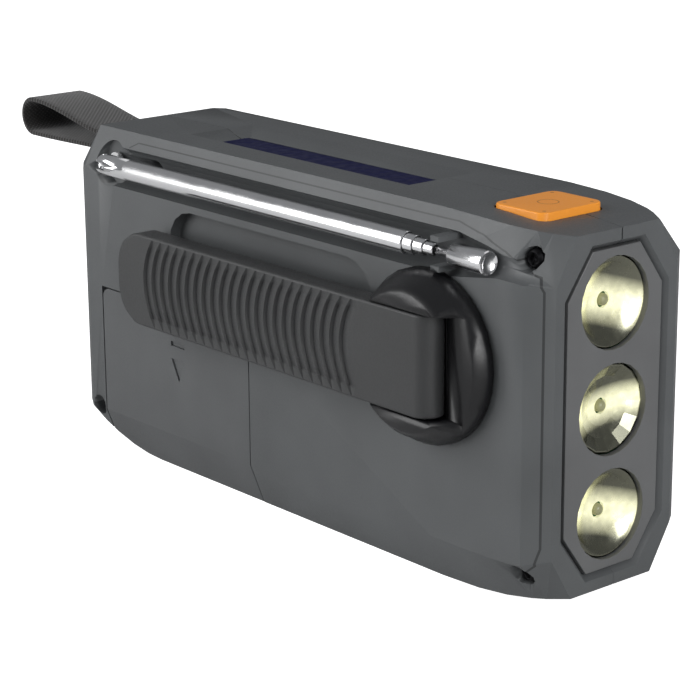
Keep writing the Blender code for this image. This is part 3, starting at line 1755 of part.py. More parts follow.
# Battery bay: three cells and the contacts at its ends
def battery_cell(number):
    """A cell with its raised pole."""
    z = cell_z_low + (number - 1) * cell_pitch
    way = 1 if number % 2 else -1
    half = cell_length / 2
    pole = cell_radius * 0.34
    pole_height = cell_length * 0.022
    edge = cell_radius * 0.1
    profile = [
        (0, half),
        (pole, half),
        (pole, half - pole_height),
        (cell_radius - edge, half - pole_height),
        (cell_radius, half - pole_height - edge),
        (cell_radius, edge - half),
        (cell_radius - edge, -half),
        (0, -half),
    ]
    if way < 0:
        profile = [(radius, -height) for radius, height in profile[::-1]]
    centre_x = (pocket_left + pocket_right) / 2
    cell = turned(f"battery_cell_{number}", "X", (centre_x, cell_y, z), profile, "pack_green", 16)
    return smooth(cell)


def battery_contact(side):
    """A sprung contact plate with a tab for each cell."""
    left = side == "left"
    wall_x = pocket_left + piece_gap if left else pocket_right - piece_gap - contact_thickness
    margin = bay_clearance
    plate = block(
        f"battery_contact_{side}",
        (wall_x, cell_y - cell_radius * 0.55, pocket_low + margin),
        (wall_x + contact_thickness, cell_y + cell_radius * 0.8, pocket_high - margin),
        "steel",
    )
    for number in range(3):
        z = cell_z_low + number * cell_pitch
        height = spring_length / 2 - piece_gap
        start_x = wall_x if left else wall_x + contact_thickness - height
        start_x += contact_thickness / 2 if left else -contact_thickness / 2
        bump = rod(f"contact_bump_{side}_{number}", "X", (start_x, cell_y, z), height, spring_radius / 2)
        join(plate, bump)
    return plate


# Loudspeaker
def speaker_basket():
    """The loudspeaker's frame and magnet, open towards the grille."""
    rim_y = front_inner_y - piece_gap
    neck_y = rim_y - speaker_depth * 0.55
    back = rim_y - speaker_depth
    sheet = generator_wall
    profile = [
        (speaker_radius - 2 * sheet, rim_y),
        (speaker_radius, rim_y),
        (speaker_radius, rim_y - sheet),
        (speaker_radius - 2 * sheet, rim_y - 2 * sheet),
        (speaker_magnet_radius + sheet, neck_y),
        (speaker_magnet_radius, neck_y),
        (speaker_magnet_radius, back),
        (0, back),
    ]
    inner = [
        (0, neck_y + sheet),
        (speaker_magnet_radius, neck_y + sheet),
        (speaker_radius - 3 * sheet, rim_y - 2 * sheet),
        (speaker_radius - 2 * sheet, rim_y),
    ]
    basket = turned(
        "speaker_basket", "Y", (speaker_x, 0, speaker_z), (inner + profile[1:]), "steel", 24
    )
    return smooth(basket)


def speaker_cone():
    """The paper cone with its dust cap."""
    rim_y = front_inner_y - 3 * piece_gap
    sheet = generator_wall
    low = rim_y - speaker_depth * 0.55 + sheet + 4 * piece_gap
    outer = speaker_radius - 3.1 * sheet
    cap = speaker_magnet_radius * 0.8
    paper = piece_gap
    top = rim_y - piece_gap
    profile = [
        (0, low + 3 * sheet),
        (cap * 0.6, low + 2.7 * sheet),
        (cap, low + 1.4 * sheet),
        (outer - sheet, top),
        (outer, top),
        (outer, top - paper),
        (outer - sheet, top - 3 * paper),
        (cap, low),
        (0, low),
    ]
    return smooth(turned("speaker_cone", "Y", (speaker_x, 0, speaker_z), profile, "cone_black", 20))


# Dial, knobs, keys and the circuit board
knob_gap_y = front_y + running_gap
knob_notches = 16
control_size = 0.0110
control_front_y = front_inner_y - piece_gap
control_back_y = board_y + board_thickness + piece_gap
shaft_end_y = control_back_y + (control_front_y - control_back_y) / 2


def knob(name, x):
    """A round knob with notches round its edge, a pointer mark and its shaft."""
    top = knob_gap_y + knob_rise
    profile = [
        (0, top - knob_rise * 0.08),
        (knob_radius * 0.7, top - knob_rise * 0.08),
        (knob_radius * 0.78, top),
        (knob_radius * 0.92, top),
        (knob_radius, top - knob_rise * 0.2),
        (knob_radius, knob_gap_y),
        (knob_shaft_radius, knob_gap_y),
        (knob_shaft_radius, shaft_end_y),
        (0, shaft_end_y),
    ]
    body = turned(name, "Y", (x, 0, knob_z), profile, "crank_black", 24)
    notches = []
    notch = knob_radius * 0.05
    for turn in range(knob_notches):
        angle = 2 * math.pi * turn / knob_notches
        centre = (x + knob_radius * math.cos(angle), knob_z + knob_radius * math.sin(angle))
        notches.append(arc(centre, notch, 0, 240, 2))
    ring = prism(name + "_notches", "XZ", notches, knob_gap_y - overrun / 4, top + overrun)
    mark_low = (x - notch, top - knob_rise * 0.3, knob_z + knob_radius * 0.3)
    mark_high = (x + notch, top + overrun, knob_z + knob_radius * 0.66)
    mark = block(name + "_mark", mark_low, mark_high)
    return cut(body, ring, mark)


def control_box(name, x):
    """The tuning capacitor or the volume control, behind its knob."""
    half = control_size / 2
    body = block(
        name, (x - half, control_back_y, knob_z - half), (x + half, control_front_y, knob_z + half), "steel"
    )
    hole = bore(
        name + "_bore", (x, knob_z), knob_shaft_radius + bore_gap, shaft_end_y - piece_gap, front_y
    )
    return cut(body, hole)


def dial_window():
    """The clear window in its seat."""
    gap = 2 * piece_gap
    outline = rounded_box(window_x, window_z, window_length - gap, window_height - gap, window_corner, 2)
    low = front_y - window_thickness
    return prism("dial_window", "XZ", [outline], low, front_y, "window_clear")


def dial_scale():
    """The pale plate behind the pointer."""
    high = front_inner_y - scale_setback - piece_gap
    half = window_length / 2 + wall / 2
    height = window_height / 2 + wall / 2
    low = (window_x - half, high - scale_thickness, window_z - height)
    return block("dial_scale", low, (window_x + half, high, window_z + height), "pale_scale")


def dial_pointer():
    """The pointer that slides between the window and the scale."""
    low_y = front_inner_y - scale_setback + piece_gap / 2
    high_y = low_y + scale_setback - piece_gap
    x = window_x - pointer_travel / 2
    half = pointer_width / 2
    height = window_height / 2 - window_lip - piece_gap
    return block(
        "dial_pointer", (x - half, low_y, window_z - height), (x + half, high_y, window_z + height), "pointer_red"
    )


def band_slider():
    """The band switch's nub on the plate that slides behind the wall."""
    left_x = band_x - band_travel / 2
    half = band_nub / 2
    height = band_slot_height / 2 - running_gap
    plate_half = band_nub / 2 + band_travel + 2 * running_gap
    plate_high = front_inner_y - piece_gap
    plate = block(
        "band_slider",
        (left_x - plate_half, plate_high - band_plate, band_z - band_slot_height),
        (left_x + plate_half, plate_high, band_z + band_slot_height),
        "crank_black",
    )
    nub = block(
        "band_nub",
        (left_x - half, plate_high - band_plate / 2, band_z - height),
        (left_x + half, front_y + key_rise, band_z + height),
    )
    return join(plate, nub)


band_plate = 0.0010


def lamp_key():
    """The round key for the lamps, with a flange inside the wall and a stem."""
    top = front_y + key_rise
    flange_y = front_inner_y - running_gap
    flange = lamp_key_radius + key_flange
    stem = lamp_key_radius / 3
    stem_end = board_y + board_thickness + key_switch_height + switch_play + lamp_key_travel
    profile = [
        (0, top),
        (lamp_key_radius * 0.8, top),
        (lamp_key_radius, top - key_rise / 2),
        (lamp_key_radius, flange_y),
        (flange, flange_y),
        (flange, flange_y - band_plate),
        (stem, flange_y - band_plate),
        (stem, stem_end),
        (0, stem_end),
    ]
    return smooth(turned("lamp_key", "Y", (lamp_key_x, 0, lamp_key_z), profile, "call_orange", 24))


key_flange = 0.0010
key_switch_height = 0.0010


def circuit_board():
    """The main board, with the key's switch and two chips on it."""
    high = board_y + board_thickness
    board = block("circuit_board", (board_left, board_y, board_low), (board_right, high, board_high), "board_green")
    half = control_size / 3
    key_switch = block(
        "board_switch",
        (lamp_key_x - half, high - board_thickness / 2, lamp_key_z - half),
        (lamp_key_x + half, high + key_switch_height, lamp_key_z + half),
    )
    chip_x = (volume_x + tuning_x) / 2
    chip = block(
        "board_chip",
        (chip_x - half, high - board_thickness / 2, knob_z - half),
        (chip_x + half, high + key_switch_height, knob_z + half),
    )
    capacitor = rod(
        "board_capacitor",
        "Y",
        (board_left + control_size, board_y - control_size / 2, board_low + 2.7 * control_size),
        control_size / 2 + board_thickness / 2,
        knob_shaft_radius * 1.5,
    )
    return join(board, key_switch, chip, capacitor)


ferrite_radius = 0.0040
ferrite_left = -0.0150
ferrite_length = 0.0600
coil_radius = 0.0050
coil_length = 0.0160


def ferrite_rod():
    """The inner aerial: a dark rod with its coil former, above the board's edge."""
    y = board_y - coil_radius - piece_gap
    z = board_low + coil_radius + control_size / 2
    start = (ferrite_left, y, z)
    core = rod("ferrite_rod", "X", start, ferrite_length, ferrite_radius, "cone_black")
    coil = rod("ferrite_coil", "X", (ferrite_left + coil_length, y, z), coil_length, coil_radius)
    return smooth(join(core, coil))


# Strap end
def strap_outline(offset):
    """Half the strap's loop, seen from the side, from its pin out to its tip."""
    r_pin = strap_pin_radius + piece_gap + offset
    tip = strap_bulge - strap_thickness + offset
    tip_x = strap_x - strap_reach + strap_bulge
    neck_x = strap_end_x + end_wall / 2
    neck = strap_neck + offset
    right = arc((strap_pin_x, strap_z), r_pin, -90, 90, 8)
    rise = strap_tip_z - strap_z
    upper = [(neck_x, strap_z + neck)]
    lower = [(neck_x, strap_z - neck)]
    for share in strap_shares:
        x = neck_x + (tip_x - neck_x) * share
        bend = (1 - math.cos(math.pi * share)) / 2
        z = strap_z + rise * bend
        half = neck + (tip - neck) * bend
        upper.append((x, z + half))
        lower.append((x, z - half))
    left = arc((tip_x, strap_tip_z), tip, 90, 270, 10)
    return right + upper + left[1:-1] + lower[::-1]


strap_tip_z = strap_z + strap_tip_rise
strap_neck = 0.0010
strap_shares = (0.25, 0.5, 0.75, 1.0)


def wrist_strap():
    """A loop of webbing round its pin and out through the slot."""
    outlines = [strap_outline(strap_thickness), strap_outline(0)]
    low = strap_y - strap_width / 2
    return prism("wrist_strap", "XZ", outlines, low, low + strap_width, "webbing_black")


def strap_pin():
    """The pin inside the strap end, which the strap goes round."""
    half = strap_width / 2 + running_gap + end_wall / 5
    return rod("strap_pin", "Y", (strap_pin_x, strap_y - half, strap_z), 2 * half, strap_pin_radius, "steel")


def charge_socket():
    """The open metal shell of the charging socket."""
    start = strap_x + flap_recess
    half = socket_width / 2
    height = socket_height / 2
    shell = block(
        "charge_socket",
        (start, flap_y - half, flap_z - height),
        (start + socket_length, flap_y + half, flap_z + height),
        "steel",
    )
    space = block(
        "socket_space",
        (start - overrun, flap_y - half + socket_wall, flap_z - height + socket_wall),
        (start + socket_length - socket_wall, flap_y + half - socket_wall, flap_z + height - socket_wall),
    )
    tongue = block(
        "socket_tongue",
        (start + 2 * socket_wall, flap_y - half / 2, flap_z - socket_wall),
        (start + socket_length - socket_wall / 2, flap_y + half / 2, flap_z + socket_wall),
    )
    return join(cut(shell, space), tongue)


def socket_flap():
    """The rubber flap over the socket, hinged along its lower edge."""
    x = strap_x + flap_inset
    half = flap_width / 2 - piece_gap
    r = flap_thickness / 2
    low = flap_z - flap_height / 2 + piece_gap
    high = flap_z + flap_height / 2 - piece_gap
    outline = arc((x + r, low + r), r, 180, 360, 6)
    outline += arc((x + r, high - r), r, 0, 180, 6)
    flap = prism("socket_flap", "XZ", [outline], flap_y - half, flap_y + half, "rubber_black")
    plug_half = socket_width / 2 - 3 * socket_wall
    plug_height = socket_wall
    plug = block(
        "flap_plug",
        (x + r, flap_y - plug_half, flap_z + plug_height),
        (x + flap_thickness + piece_gap, flap_y + plug_half, flap_z + 2 * plug_height),
    )
    return join(flap, plug)


def build():
    """Make every piece."""
    rear_shell()
    front_shell()
    for number, (x, z, face_y, front_radius) in enumerate(screws, 1):
        case_screw(number, x, z, face_y)
    battery_door()
    for number in (1, 2, 3):
        battery_cell(number)
    battery_contact("left")
    battery_contact("right")
    crank_hub()
    hinge_pin()
    crank_handle()
    hub_screw()
    drive_gear()
    compound_gear(
        "first_wheel", first_centre, first_wheel_teeth, second_module, first_phase, gear_2_y, first_module
    )
    compound_gear(
        "second_wheel", second_centre, second_wheel_teeth, third_module, second_phase, gear_3_y, second_module
    )
    axle("first_axle", first_centre, first_post_y)
    axle("second_axle", second_centre, second_post_y)
    gear_frame()
    generator_can()
    generator_rotor()
    aerial_stud()
    aerial_knuckle()
    aerial_pin()
    for number in (1, 2, 3, 4):
        aerial_tube(number)
    aerial_rod()
    lens_plate()
    for place, z in lamp_heights:
        reflector(place, z)
        lamp_led(place, z)
    lamp_board()
    solar_panel()
    call_button()
    call_switch()
    speaker_basket()
    speaker_cone()
    knob("tuning_knob", tuning_x)
    knob("volume_knob", volume_x)
    control_box("tuning_capacitor", tuning_x)
    control_box("volume_control", volume_x)
    dial_window()
    dial_scale()
    dial_pointer()
    band_slider()
    lamp_key()
    circuit_board()
    ferrite_rod()
    wrist_strap()
    strap_pin()
    charge_socket()
    socket_flap()


build()
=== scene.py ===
"""The looks of a wind-up emergency radio: housing, crank, aerial, lamps, strap and controls."""

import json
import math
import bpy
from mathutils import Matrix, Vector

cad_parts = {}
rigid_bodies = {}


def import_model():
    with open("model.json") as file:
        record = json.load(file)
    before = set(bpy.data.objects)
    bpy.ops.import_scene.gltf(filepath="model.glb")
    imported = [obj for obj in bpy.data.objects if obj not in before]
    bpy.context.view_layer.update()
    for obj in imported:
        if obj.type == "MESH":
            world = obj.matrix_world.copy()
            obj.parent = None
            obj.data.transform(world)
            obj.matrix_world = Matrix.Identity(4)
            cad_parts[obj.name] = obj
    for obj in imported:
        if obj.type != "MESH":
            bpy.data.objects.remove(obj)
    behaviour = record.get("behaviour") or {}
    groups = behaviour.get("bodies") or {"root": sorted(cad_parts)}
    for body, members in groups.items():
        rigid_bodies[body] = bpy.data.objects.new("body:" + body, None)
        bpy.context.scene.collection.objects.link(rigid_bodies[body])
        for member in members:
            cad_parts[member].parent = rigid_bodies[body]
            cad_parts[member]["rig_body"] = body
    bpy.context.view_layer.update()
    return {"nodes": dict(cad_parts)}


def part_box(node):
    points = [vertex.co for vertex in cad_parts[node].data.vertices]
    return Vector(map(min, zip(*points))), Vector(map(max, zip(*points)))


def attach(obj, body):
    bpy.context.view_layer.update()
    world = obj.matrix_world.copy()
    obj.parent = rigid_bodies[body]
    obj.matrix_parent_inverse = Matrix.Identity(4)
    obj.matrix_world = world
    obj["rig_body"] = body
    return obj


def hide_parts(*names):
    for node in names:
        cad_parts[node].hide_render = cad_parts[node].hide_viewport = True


bl_info = {
    "name": "Wind-up Radio",
    "version": (1, 0, 0),
    "blender": (4, 5, 0),
    "location": "View3D > Sidebar > Radio",
    "description": "Finishes a wind-up emergency radio and sets its stage",
    "category": "Object",
}

import bmesh
import bpy
from bpy.props import FloatProperty, FloatVectorProperty, IntProperty, PointerProperty
from mathutils import Matrix, Vector

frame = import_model()
nodes = frame["nodes"]

weld_distance = 0.000002
flat_angle = math.radians(0.4)

# Angles, in degrees, above which an edge is shaded sharp
crease_angle = 32
shell_crease = 24
button_crease = 35
turned_crease = 40
cup_crease = 50
facet_crease = 5
cloth_crease = 80


def length(name, description, default):
    """A length in metres, with its place in the panel."""
    return FloatProperty(name=name, description=description, default=default, unit="LENGTH")


def tone(name, description, default):
    """A colour, with its place in the panel."""
    return FloatVectorProperty(
        name=name, description=description, default=default, subtype="COLOR"
    )


class RadioSizes(bpy.types.PropertyGroup):
    """Sizes of the finish, in metres."""

    edge_radius: length("Edge radius", "Sets the door's and the lamp plate's rounding", 0.0004)
    # Half the width of the painted shade line on the crank side
    shade_line_radius: length("Groove radius", "Half the width of the housing's line", 0.00016)
    rib_pitch: length("Rib pitch", "Distance from rib to rib on the grip", 0.0031)
    rib_depth: length("Rib depth", "Depth of the grooves on the grip", 0.0007)
    rib_radius: length("Rib radius", "Radius of the ribs' curve", 0.0158)
    rib_count: IntProperty(
        name="Ribs", description="Number of grooves on the grip", default=23, min=0
    )
    strap_thickness: length("Strap thickness", "Thickness of the webbing", 0.0010)
    thread_pitch: length("Thread pitch", "Distance between the webbing's threads", 0.0008)
    cell_pitch: length("Cell pitch", "Width of one strip of the sun panel", 0.0042)


class RadioColours(bpy.types.PropertyGroup):
    """Colours of the finishes."""

    housing: tone("Housing", "Slate grey moulded plastic", (0.088, 0.093, 0.096))
    door: tone("Door", "Battery door's plastic", (0.088, 0.092, 0.095))
    grip: tone("Grip", "Crank grip's plastic", (0.032, 0.033, 0.034))
    hub: tone("Hub", "Crank hub's plastic", (0.006, 0.006, 0.007))
    lens: tone("Lens plate", "Plate round the lamps", (0.118, 0.120, 0.122))
    call: tone("Call button", "Orange plastic", (1.0, 0.36, 0.035))
    cells: tone("Sun panel", "Blue of the cells", (0.002, 0.003, 0.042))
    webbing: tone("Webbing", "Strap's threads", (0.022, 0.020, 0.019))


def sizes():
    """The sizes of the finish."""
    return bpy.context.scene.radio_sizes


def colours():
    """The colours of the finishes."""
    return bpy.context.scene.radio_colours


def new_material(name):
    """A Principled material: the tree, its shader and its Object coordinates."""
    made = bpy.data.materials.new(name)
    made.use_nodes = True
    tree = made.node_tree
    shader = tree.nodes["Principled BSDF"]
    place = tree.nodes.new("ShaderNodeTexCoord")
    return made, tree, shader, place.outputs["Object"]


def noise(tree, place, scale, detail=2.0):
    """A noise of that many lumps a metre."""
    texture = tree.nodes.new("ShaderNodeTexNoise")
    texture.inputs["Scale"].default_value = scale
    texture.inputs["Detail"].default_value = detail
    tree.links.new(place, texture.inputs["Vector"])
    return texture.outputs["Fac"]


def spread(tree, value, low, high, start=0.3, end=0.7):
    """A texture's value carried to the range from low to high."""
    ranged = tree.nodes.new("ShaderNodeMapRange")
    ranged.inputs["From Min"].default_value = start
    ranged.inputs["From Max"].default_value = end
    ranged.inputs["To Min"].default_value = low
    ranged.inputs["To Max"].default_value = high
    tree.links.new(value, ranged.inputs["Value"])
    return ranged.outputs["Result"]


def two_tones(tree, share, first, second):
    """A colour between two tones, by a share."""
    mixed = tree.nodes.new("ShaderNodeMix")
    mixed.data_type = "RGBA"
    mixed.inputs["A"].default_value = (*first, 1)
    mixed.inputs["B"].default_value = (*second, 1)
    tree.links.new(share, mixed.inputs["Factor"])
    return mixed.outputs["Result"]


def raise_grain(tree, shader, height, strength, depth):
    """A height joined to the shader's normal."""
    bump = tree.nodes.new("ShaderNodeBump")
    bump.inputs["Strength"].default_value = strength
    bump.inputs["Distance"].default_value = depth
    tree.links.new(height, bump.inputs["Height"])
    tree.links.new(bump.outputs["Normal"], shader.inputs["Normal"])


def math_node(tree, operation, first, second=None):
    """A Math node's output, from sockets or constants."""
    made = tree.nodes.new("ShaderNodeMath")
    made.operation = operation
    for socket, value in zip(made.inputs, (first, second)):
        if isinstance(value, bpy.types.NodeSocket):
            tree.links.new(value, socket)
        elif value is not None:
            socket.default_value = value
    return made.outputs[0]


def vector_node(tree, operation, first, second):
    """A Vector Math node, from sockets or constants."""
    made = tree.nodes.new("ShaderNodeVectorMath")
    made.operation = operation
    for socket, value in zip(made.inputs, (first, second)):
        if isinstance(value, bpy.types.NodeSocket):
            tree.links.new(value, socket)
        else:
            socket.default_value = value
    return made


def line_mask(tree, flat_place, start, end, half_width):
    """1 on a straight stroke between two points of a flattened place, and 0 elsewhere."""
    run = Vector(end) - Vector(start)
    away = vector_node(tree, "SUBTRACT", flat_place, start).outputs["Vector"]
    along = vector_node(tree, "DOT_PRODUCT", away, run / run.length_squared).outputs["Value"]
    held = math_node(tree, "MINIMUM", math_node(tree, "MAXIMUM", along, 0.0), 1.0)
    part = tree.nodes.new("ShaderNodeVectorMath")
    part.operation = "SCALE"
    part.inputs[0].default_value = run
    tree.links.new(held, part.inputs["Scale"])
    distance = vector_node(tree, "DISTANCE", away, part.outputs["Vector"]).outputs["Value"]
    return math_node(tree, "LESS_THAN", distance, half_width)


def flattened(tree, place, keep):
    """A place with only the axes in keep, such as (1, 0, 1)."""
    made = tree.nodes.new("ShaderNodeMapping")
    made.inputs["Scale"].default_value = keep
    tree.links.new(place, made.inputs["Vector"])
    return made.outputs["Vector"]


def darken(tree, shader, mask, share):
    """Darken the shader's colour where a mask is 1."""
    source = shader.inputs["Base Color"].links[0].from_socket
    mixed = tree.nodes.new("ShaderNodeMix")
    mixed.data_type = "RGBA"
    mixed.blend_type = "MULTIPLY"
    mixed.inputs["B"].default_value = (share, share, share, 1)
    tree.links.new(source, mixed.inputs["A"])
    tree.links.new(mask, mixed.inputs["Factor"])
    tree.links.new(mixed.outputs["Result"], shader.inputs["Base Color"])


def panel_line(made):
    """A fine line of painted shade on the crank side, standing for the shadow of a small step in
    the shell: along the long chamfer and down the lamp end.
    """
    tree = made.node_tree
    shader = tree.nodes["Principled BSDF"]
    place = tree.nodes["Texture Coordinate"].outputs["Object"]
    flat = flattened(tree, place, (1, 0, 1))
    low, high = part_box("rear_shell")
    points = [(low.x + x, 0, high.z - z) for x, z in panel_line_points]
    mask = None
    for start, end in zip(points, points[1:]):
        stroke = line_mask(tree, flat, start, end, sizes().shade_line_radius)
        mask = stroke if mask is None else math_node(tree, "MAXIMUM", mask, stroke)
    depth = tree.nodes.new("ShaderNodeSeparateXYZ")
    tree.links.new(place, depth.inputs["Vector"])
    side = math_node(tree, "LESS_THAN", depth.outputs["Y"], low.y + panel_line_reach)
    darken(tree, shader, math_node(tree, "MULTIPLY", mask, side), panel_line_shade)


# How dark the painted shade line is, and how far in from the crank side it reaches
panel_line_shade = 0.35
panel_line_reach = 0.009
# Distances from the shell's left end and down from its top
panel_line_points = (
    (0.0200, 0.0034),
    (0.0230, 0.0020),
    (0.1310, 0.0020),
    (0.1380, 0.0034),
    (0.1496, 0.0072),
    (0.1536, 0.0092),
    (0.1546, 0.0120),
    (0.1546, 0.0640),
    (0.1538, 0.0676),
    (0.1522, 0.0692),
)


def button_marks(made):
    """Four small dots and a ring on the call button, as painted shade where small sunk dimples
    would lie.
    """
    tree = made.node_tree
    shader = tree.nodes["Principled BSDF"]
    flat = flattened(tree, tree.nodes["Texture Coordinate"].outputs["Object"], (1, 1, 0))
    low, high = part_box("call_button")
    middle = (low + high) / 2
    middle.z = 0
    span = high - low
    mask = None
    for across in (-1, 1):
        for along in (-1, 1):
            dot = middle + Vector((across * span.x, along * span.y, 0)) * button_dot_share
            near = vector_node(tree, "DISTANCE", flat, dot).outputs["Value"]
            spot = math_node(tree, "LESS_THAN", near, span.x * button_dot_size_share)
            mask = spot if mask is None else math_node(tree, "MAXIMUM", mask, spot)
    radius = vector_node(tree, "DISTANCE", flat, middle).outputs["Value"]
    off_ring = math_node(tree, "SUBTRACT", radius, span.x * button_ring_share)
    away = math_node(tree, "ABSOLUTE", off_ring)
    ring = math_node(tree, "LESS_THAN", away, span.x * button_dot_size_share / 3)
    darken(tree, shader, math_node(tree, "MAXIMUM", mask, ring), button_mark_shade)


# Where the dots and the ring sit, their size, and how dark their painted shade is
button_dot_share = 0.34
button_dot_size_share = 0.026
button_ring_share = 0.13
button_mark_shade = 0.55

# Lumps a metre of the fine grain, the clouds of tone, the smears and the haze
grain_scale = 2600
cloud_scale = 45
smear_scale = cloud_scale * 4
haze_scale = cloud_scale * 12
grain_depth = 0.00006


def moulded_plastic(name, colour, roughness, grain=0.25, tone=0.10):
    """Moulded plastic: fine spark-eroded grain, faint clouds of tone and uneven gloss."""
    made, tree, shader, place = new_material(name)
    clouds = noise(tree, place, cloud_scale)
    dark = [value * (1 - tone) for value in colour]
    light = [value * (1 + tone) for value in colour]
    colouring = two_tones(tree, spread(tree, clouds, 0, 1), dark, light)
    tree.links.new(colouring, shader.inputs["Base Color"])
    fine = noise(tree, place, grain_scale)
    gloss = spread(tree, fine, roughness - 0.05, roughness + 0.06)
    tree.links.new(gloss, shader.inputs["Roughness"])
    raise_grain(tree, shader, fine, grain, grain_depth)
    return made


def polished_metal(name, colour, roughness, brushed=0.0):
    """Plated or turned metal, with marks drawn out along the X axis where it is brushed."""
    made, tree, shader, place = new_material(name)
    shader.inputs["Metallic"].default_value = 1.0
    smears = noise(tree, place, smear_scale)
    dull = [value * 0.94 for value in colour]
    colouring = two_tones(tree, spread(tree, smears, 0, 1), dull, colour)
    tree.links.new(colouring, shader.inputs["Base Color"])
    gloss = spread(tree, smears, roughness * 0.8, roughness * 1.25)
    tree.links.new(gloss, shader.inputs["Roughness"])
    if brushed:
        stretch = tree.nodes.new("ShaderNodeMapping")
        stretch.inputs["Scale"].default_value = (0.04, 1, 1)
        tree.links.new(place, stretch.inputs["Vector"])
        marks = noise(tree, stretch.outputs["Vector"], grain_scale * 2)
        raise_grain(tree, shader, marks, brushed, grain_depth / 3)
    return made


# Shares of a strip and of a finger of the sun panel that their lines take
strip_line_share = 0.075
finger_line_share = 0.09
fingers_per_strip = 3


def sun_cells():
    """Dark blue strips with thin, slightly paler lines."""
    made, tree, shader, place = new_material("sun_cells")
    parts = tree.nodes.new("ShaderNodeSeparateXYZ")
    tree.links.new(place, parts.inputs["Vector"])
    pitch = sizes().cell_pitch
    rows = (("X", pitch, strip_line_share), ("Y", pitch / fingers_per_strip, finger_line_share))
    lines = []
    for axis, step, share in rows:
        within = math_node(tree, "FRACT", math_node(tree, "DIVIDE", parts.outputs[axis], step))
        lines.append(math_node(tree, "LESS_THAN", within, share))
    either = math_node(tree, "MAXIMUM", *lines)
    line_colour = [value * 1.6 + 0.003 for value in colours().cells]
    colouring = two_tones(tree, either, colours().cells, line_colour)
    tree.links.new(colouring, shader.inputs["Base Color"])
    crystals = noise(tree, place, haze_scale)
    tree.links.new(spread(tree, crystals, 0.28, 0.40), shader.inputs["Roughness"])
    shader.inputs["Specular IOR Level"].default_value = 0.03
    return made


threads_to_wave = 0.314


def webbing():
    """Woven threads on the strap's own map: U across it and V along it, both in metres."""
    made, tree, shader, place = new_material("woven_webbing")
    strip = tree.nodes.new("ShaderNodeUVMap")
    strip.uv_map = "strap_map"
    waves = []
    for turn in (45, -45):
        turned = tree.nodes.new("ShaderNodeMapping")
        turned.inputs["Rotation"].default_value = (0, 0, math.radians(turn))
        tree.links.new(strip.outputs["UV"], turned.inputs["Vector"])
        wave = tree.nodes.new("ShaderNodeTexWave")
        wave.inputs["Scale"].default_value = threads_to_wave / sizes().thread_pitch
        wave.inputs["Distortion"].default_value = 0.6
        tree.links.new(turned.outputs["Vector"], wave.inputs["Vector"])
        waves.append(wave.outputs["Fac"])
    weave = math_node(tree, "MULTIPLY", *waves)
    dark = [value * 0.55 for value in colours().webbing]
    light = [value * 1.5 for value in colours().webbing]
    shade = spread(tree, weave, 0, 1, 0, 0.8)
    tree.links.new(two_tones(tree, shade, dark, light), shader.inputs["Base Color"])
    shader.inputs["Roughness"].default_value = 0.92
    shader.inputs["Sheen Weight"].default_value = 0.25
    raise_grain(tree, shader, weave, 0.7, sizes().thread_pitch / 5)
    return made


# Mirror colour away from the band, the painted reflection's colour and the painted glow's colour
mirror_dark = (0.22, 0.22, 0.17)
mirror_painted_reflection = (0.85, 0.84, 0.62)
painted_glow_colour = (1.0, 0.98, 0.62, 1)


def lamp_mirror(name, node, band, glow, tilt):
    """A metallised cup with a painted reflection: a band of pale yellow lamp light across it, which
    also glows as painted light.
    """
    made, tree, shader, place = new_material(name)
    low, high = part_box(node)
    radius = (high.z - low.z) / 2
    turned = tree.nodes.new("ShaderNodeMapping")
    turned.vector_type = "TEXTURE"
    turned.inputs["Location"].default_value = (low + high) / 2
    turned.inputs["Rotation"].default_value = (tilt, 0, 0)
    turned.inputs["Scale"].default_value = (radius, radius, radius)
    tree.links.new(place, turned.inputs["Vector"])
    parts = tree.nodes.new("ShaderNodeSeparateXYZ")
    tree.links.new(turned.outputs["Vector"], parts.inputs["Vector"])
    above = math_node(tree, "ABSOLUTE", parts.outputs["Z"])
    # A painted reflection band across the cup's middle, turned by tilt
    lit = spread(tree, above, 1, 0, band * 0.4, band * 1.7)
    haze = noise(tree, place, haze_scale)
    share = math_node(tree, "MULTIPLY", lit, spread(tree, haze, 0.75, 1))
    shader.inputs["Metallic"].default_value = 1.0
    colouring = two_tones(tree, share, mirror_dark, mirror_painted_reflection)
    tree.links.new(colouring, shader.inputs["Base Color"])
    tree.links.new(spread(tree, haze, 0.20, 0.30), shader.inputs["Roughness"])
    # The band glows too: painted light, the cup itself is no lamp
    shader.inputs["Emission Color"].default_value = painted_glow_colour
    power = math_node(tree, "MULTIPLY", share, glow)
    tree.links.new(power, shader.inputs["Emission Strength"])
    return made


def clear_plastic():
    """The dial window: clear, with faint wiping marks in its gloss."""
    made, tree, shader, place = new_material("clear_window")
    shader.inputs["Base Color"].default_value = (0.92, 0.95, 0.96, 1)
    shader.inputs["Transmission Weight"].default_value = 0.95
    shader.inputs["IOR"].default_value = 1.49
    wiping = noise(tree, place, cloud_scale * 3)
    tree.links.new(spread(tree, wiping, 0.02, 0.07), shader.inputs["Roughness"])
    return made


finishes = {}


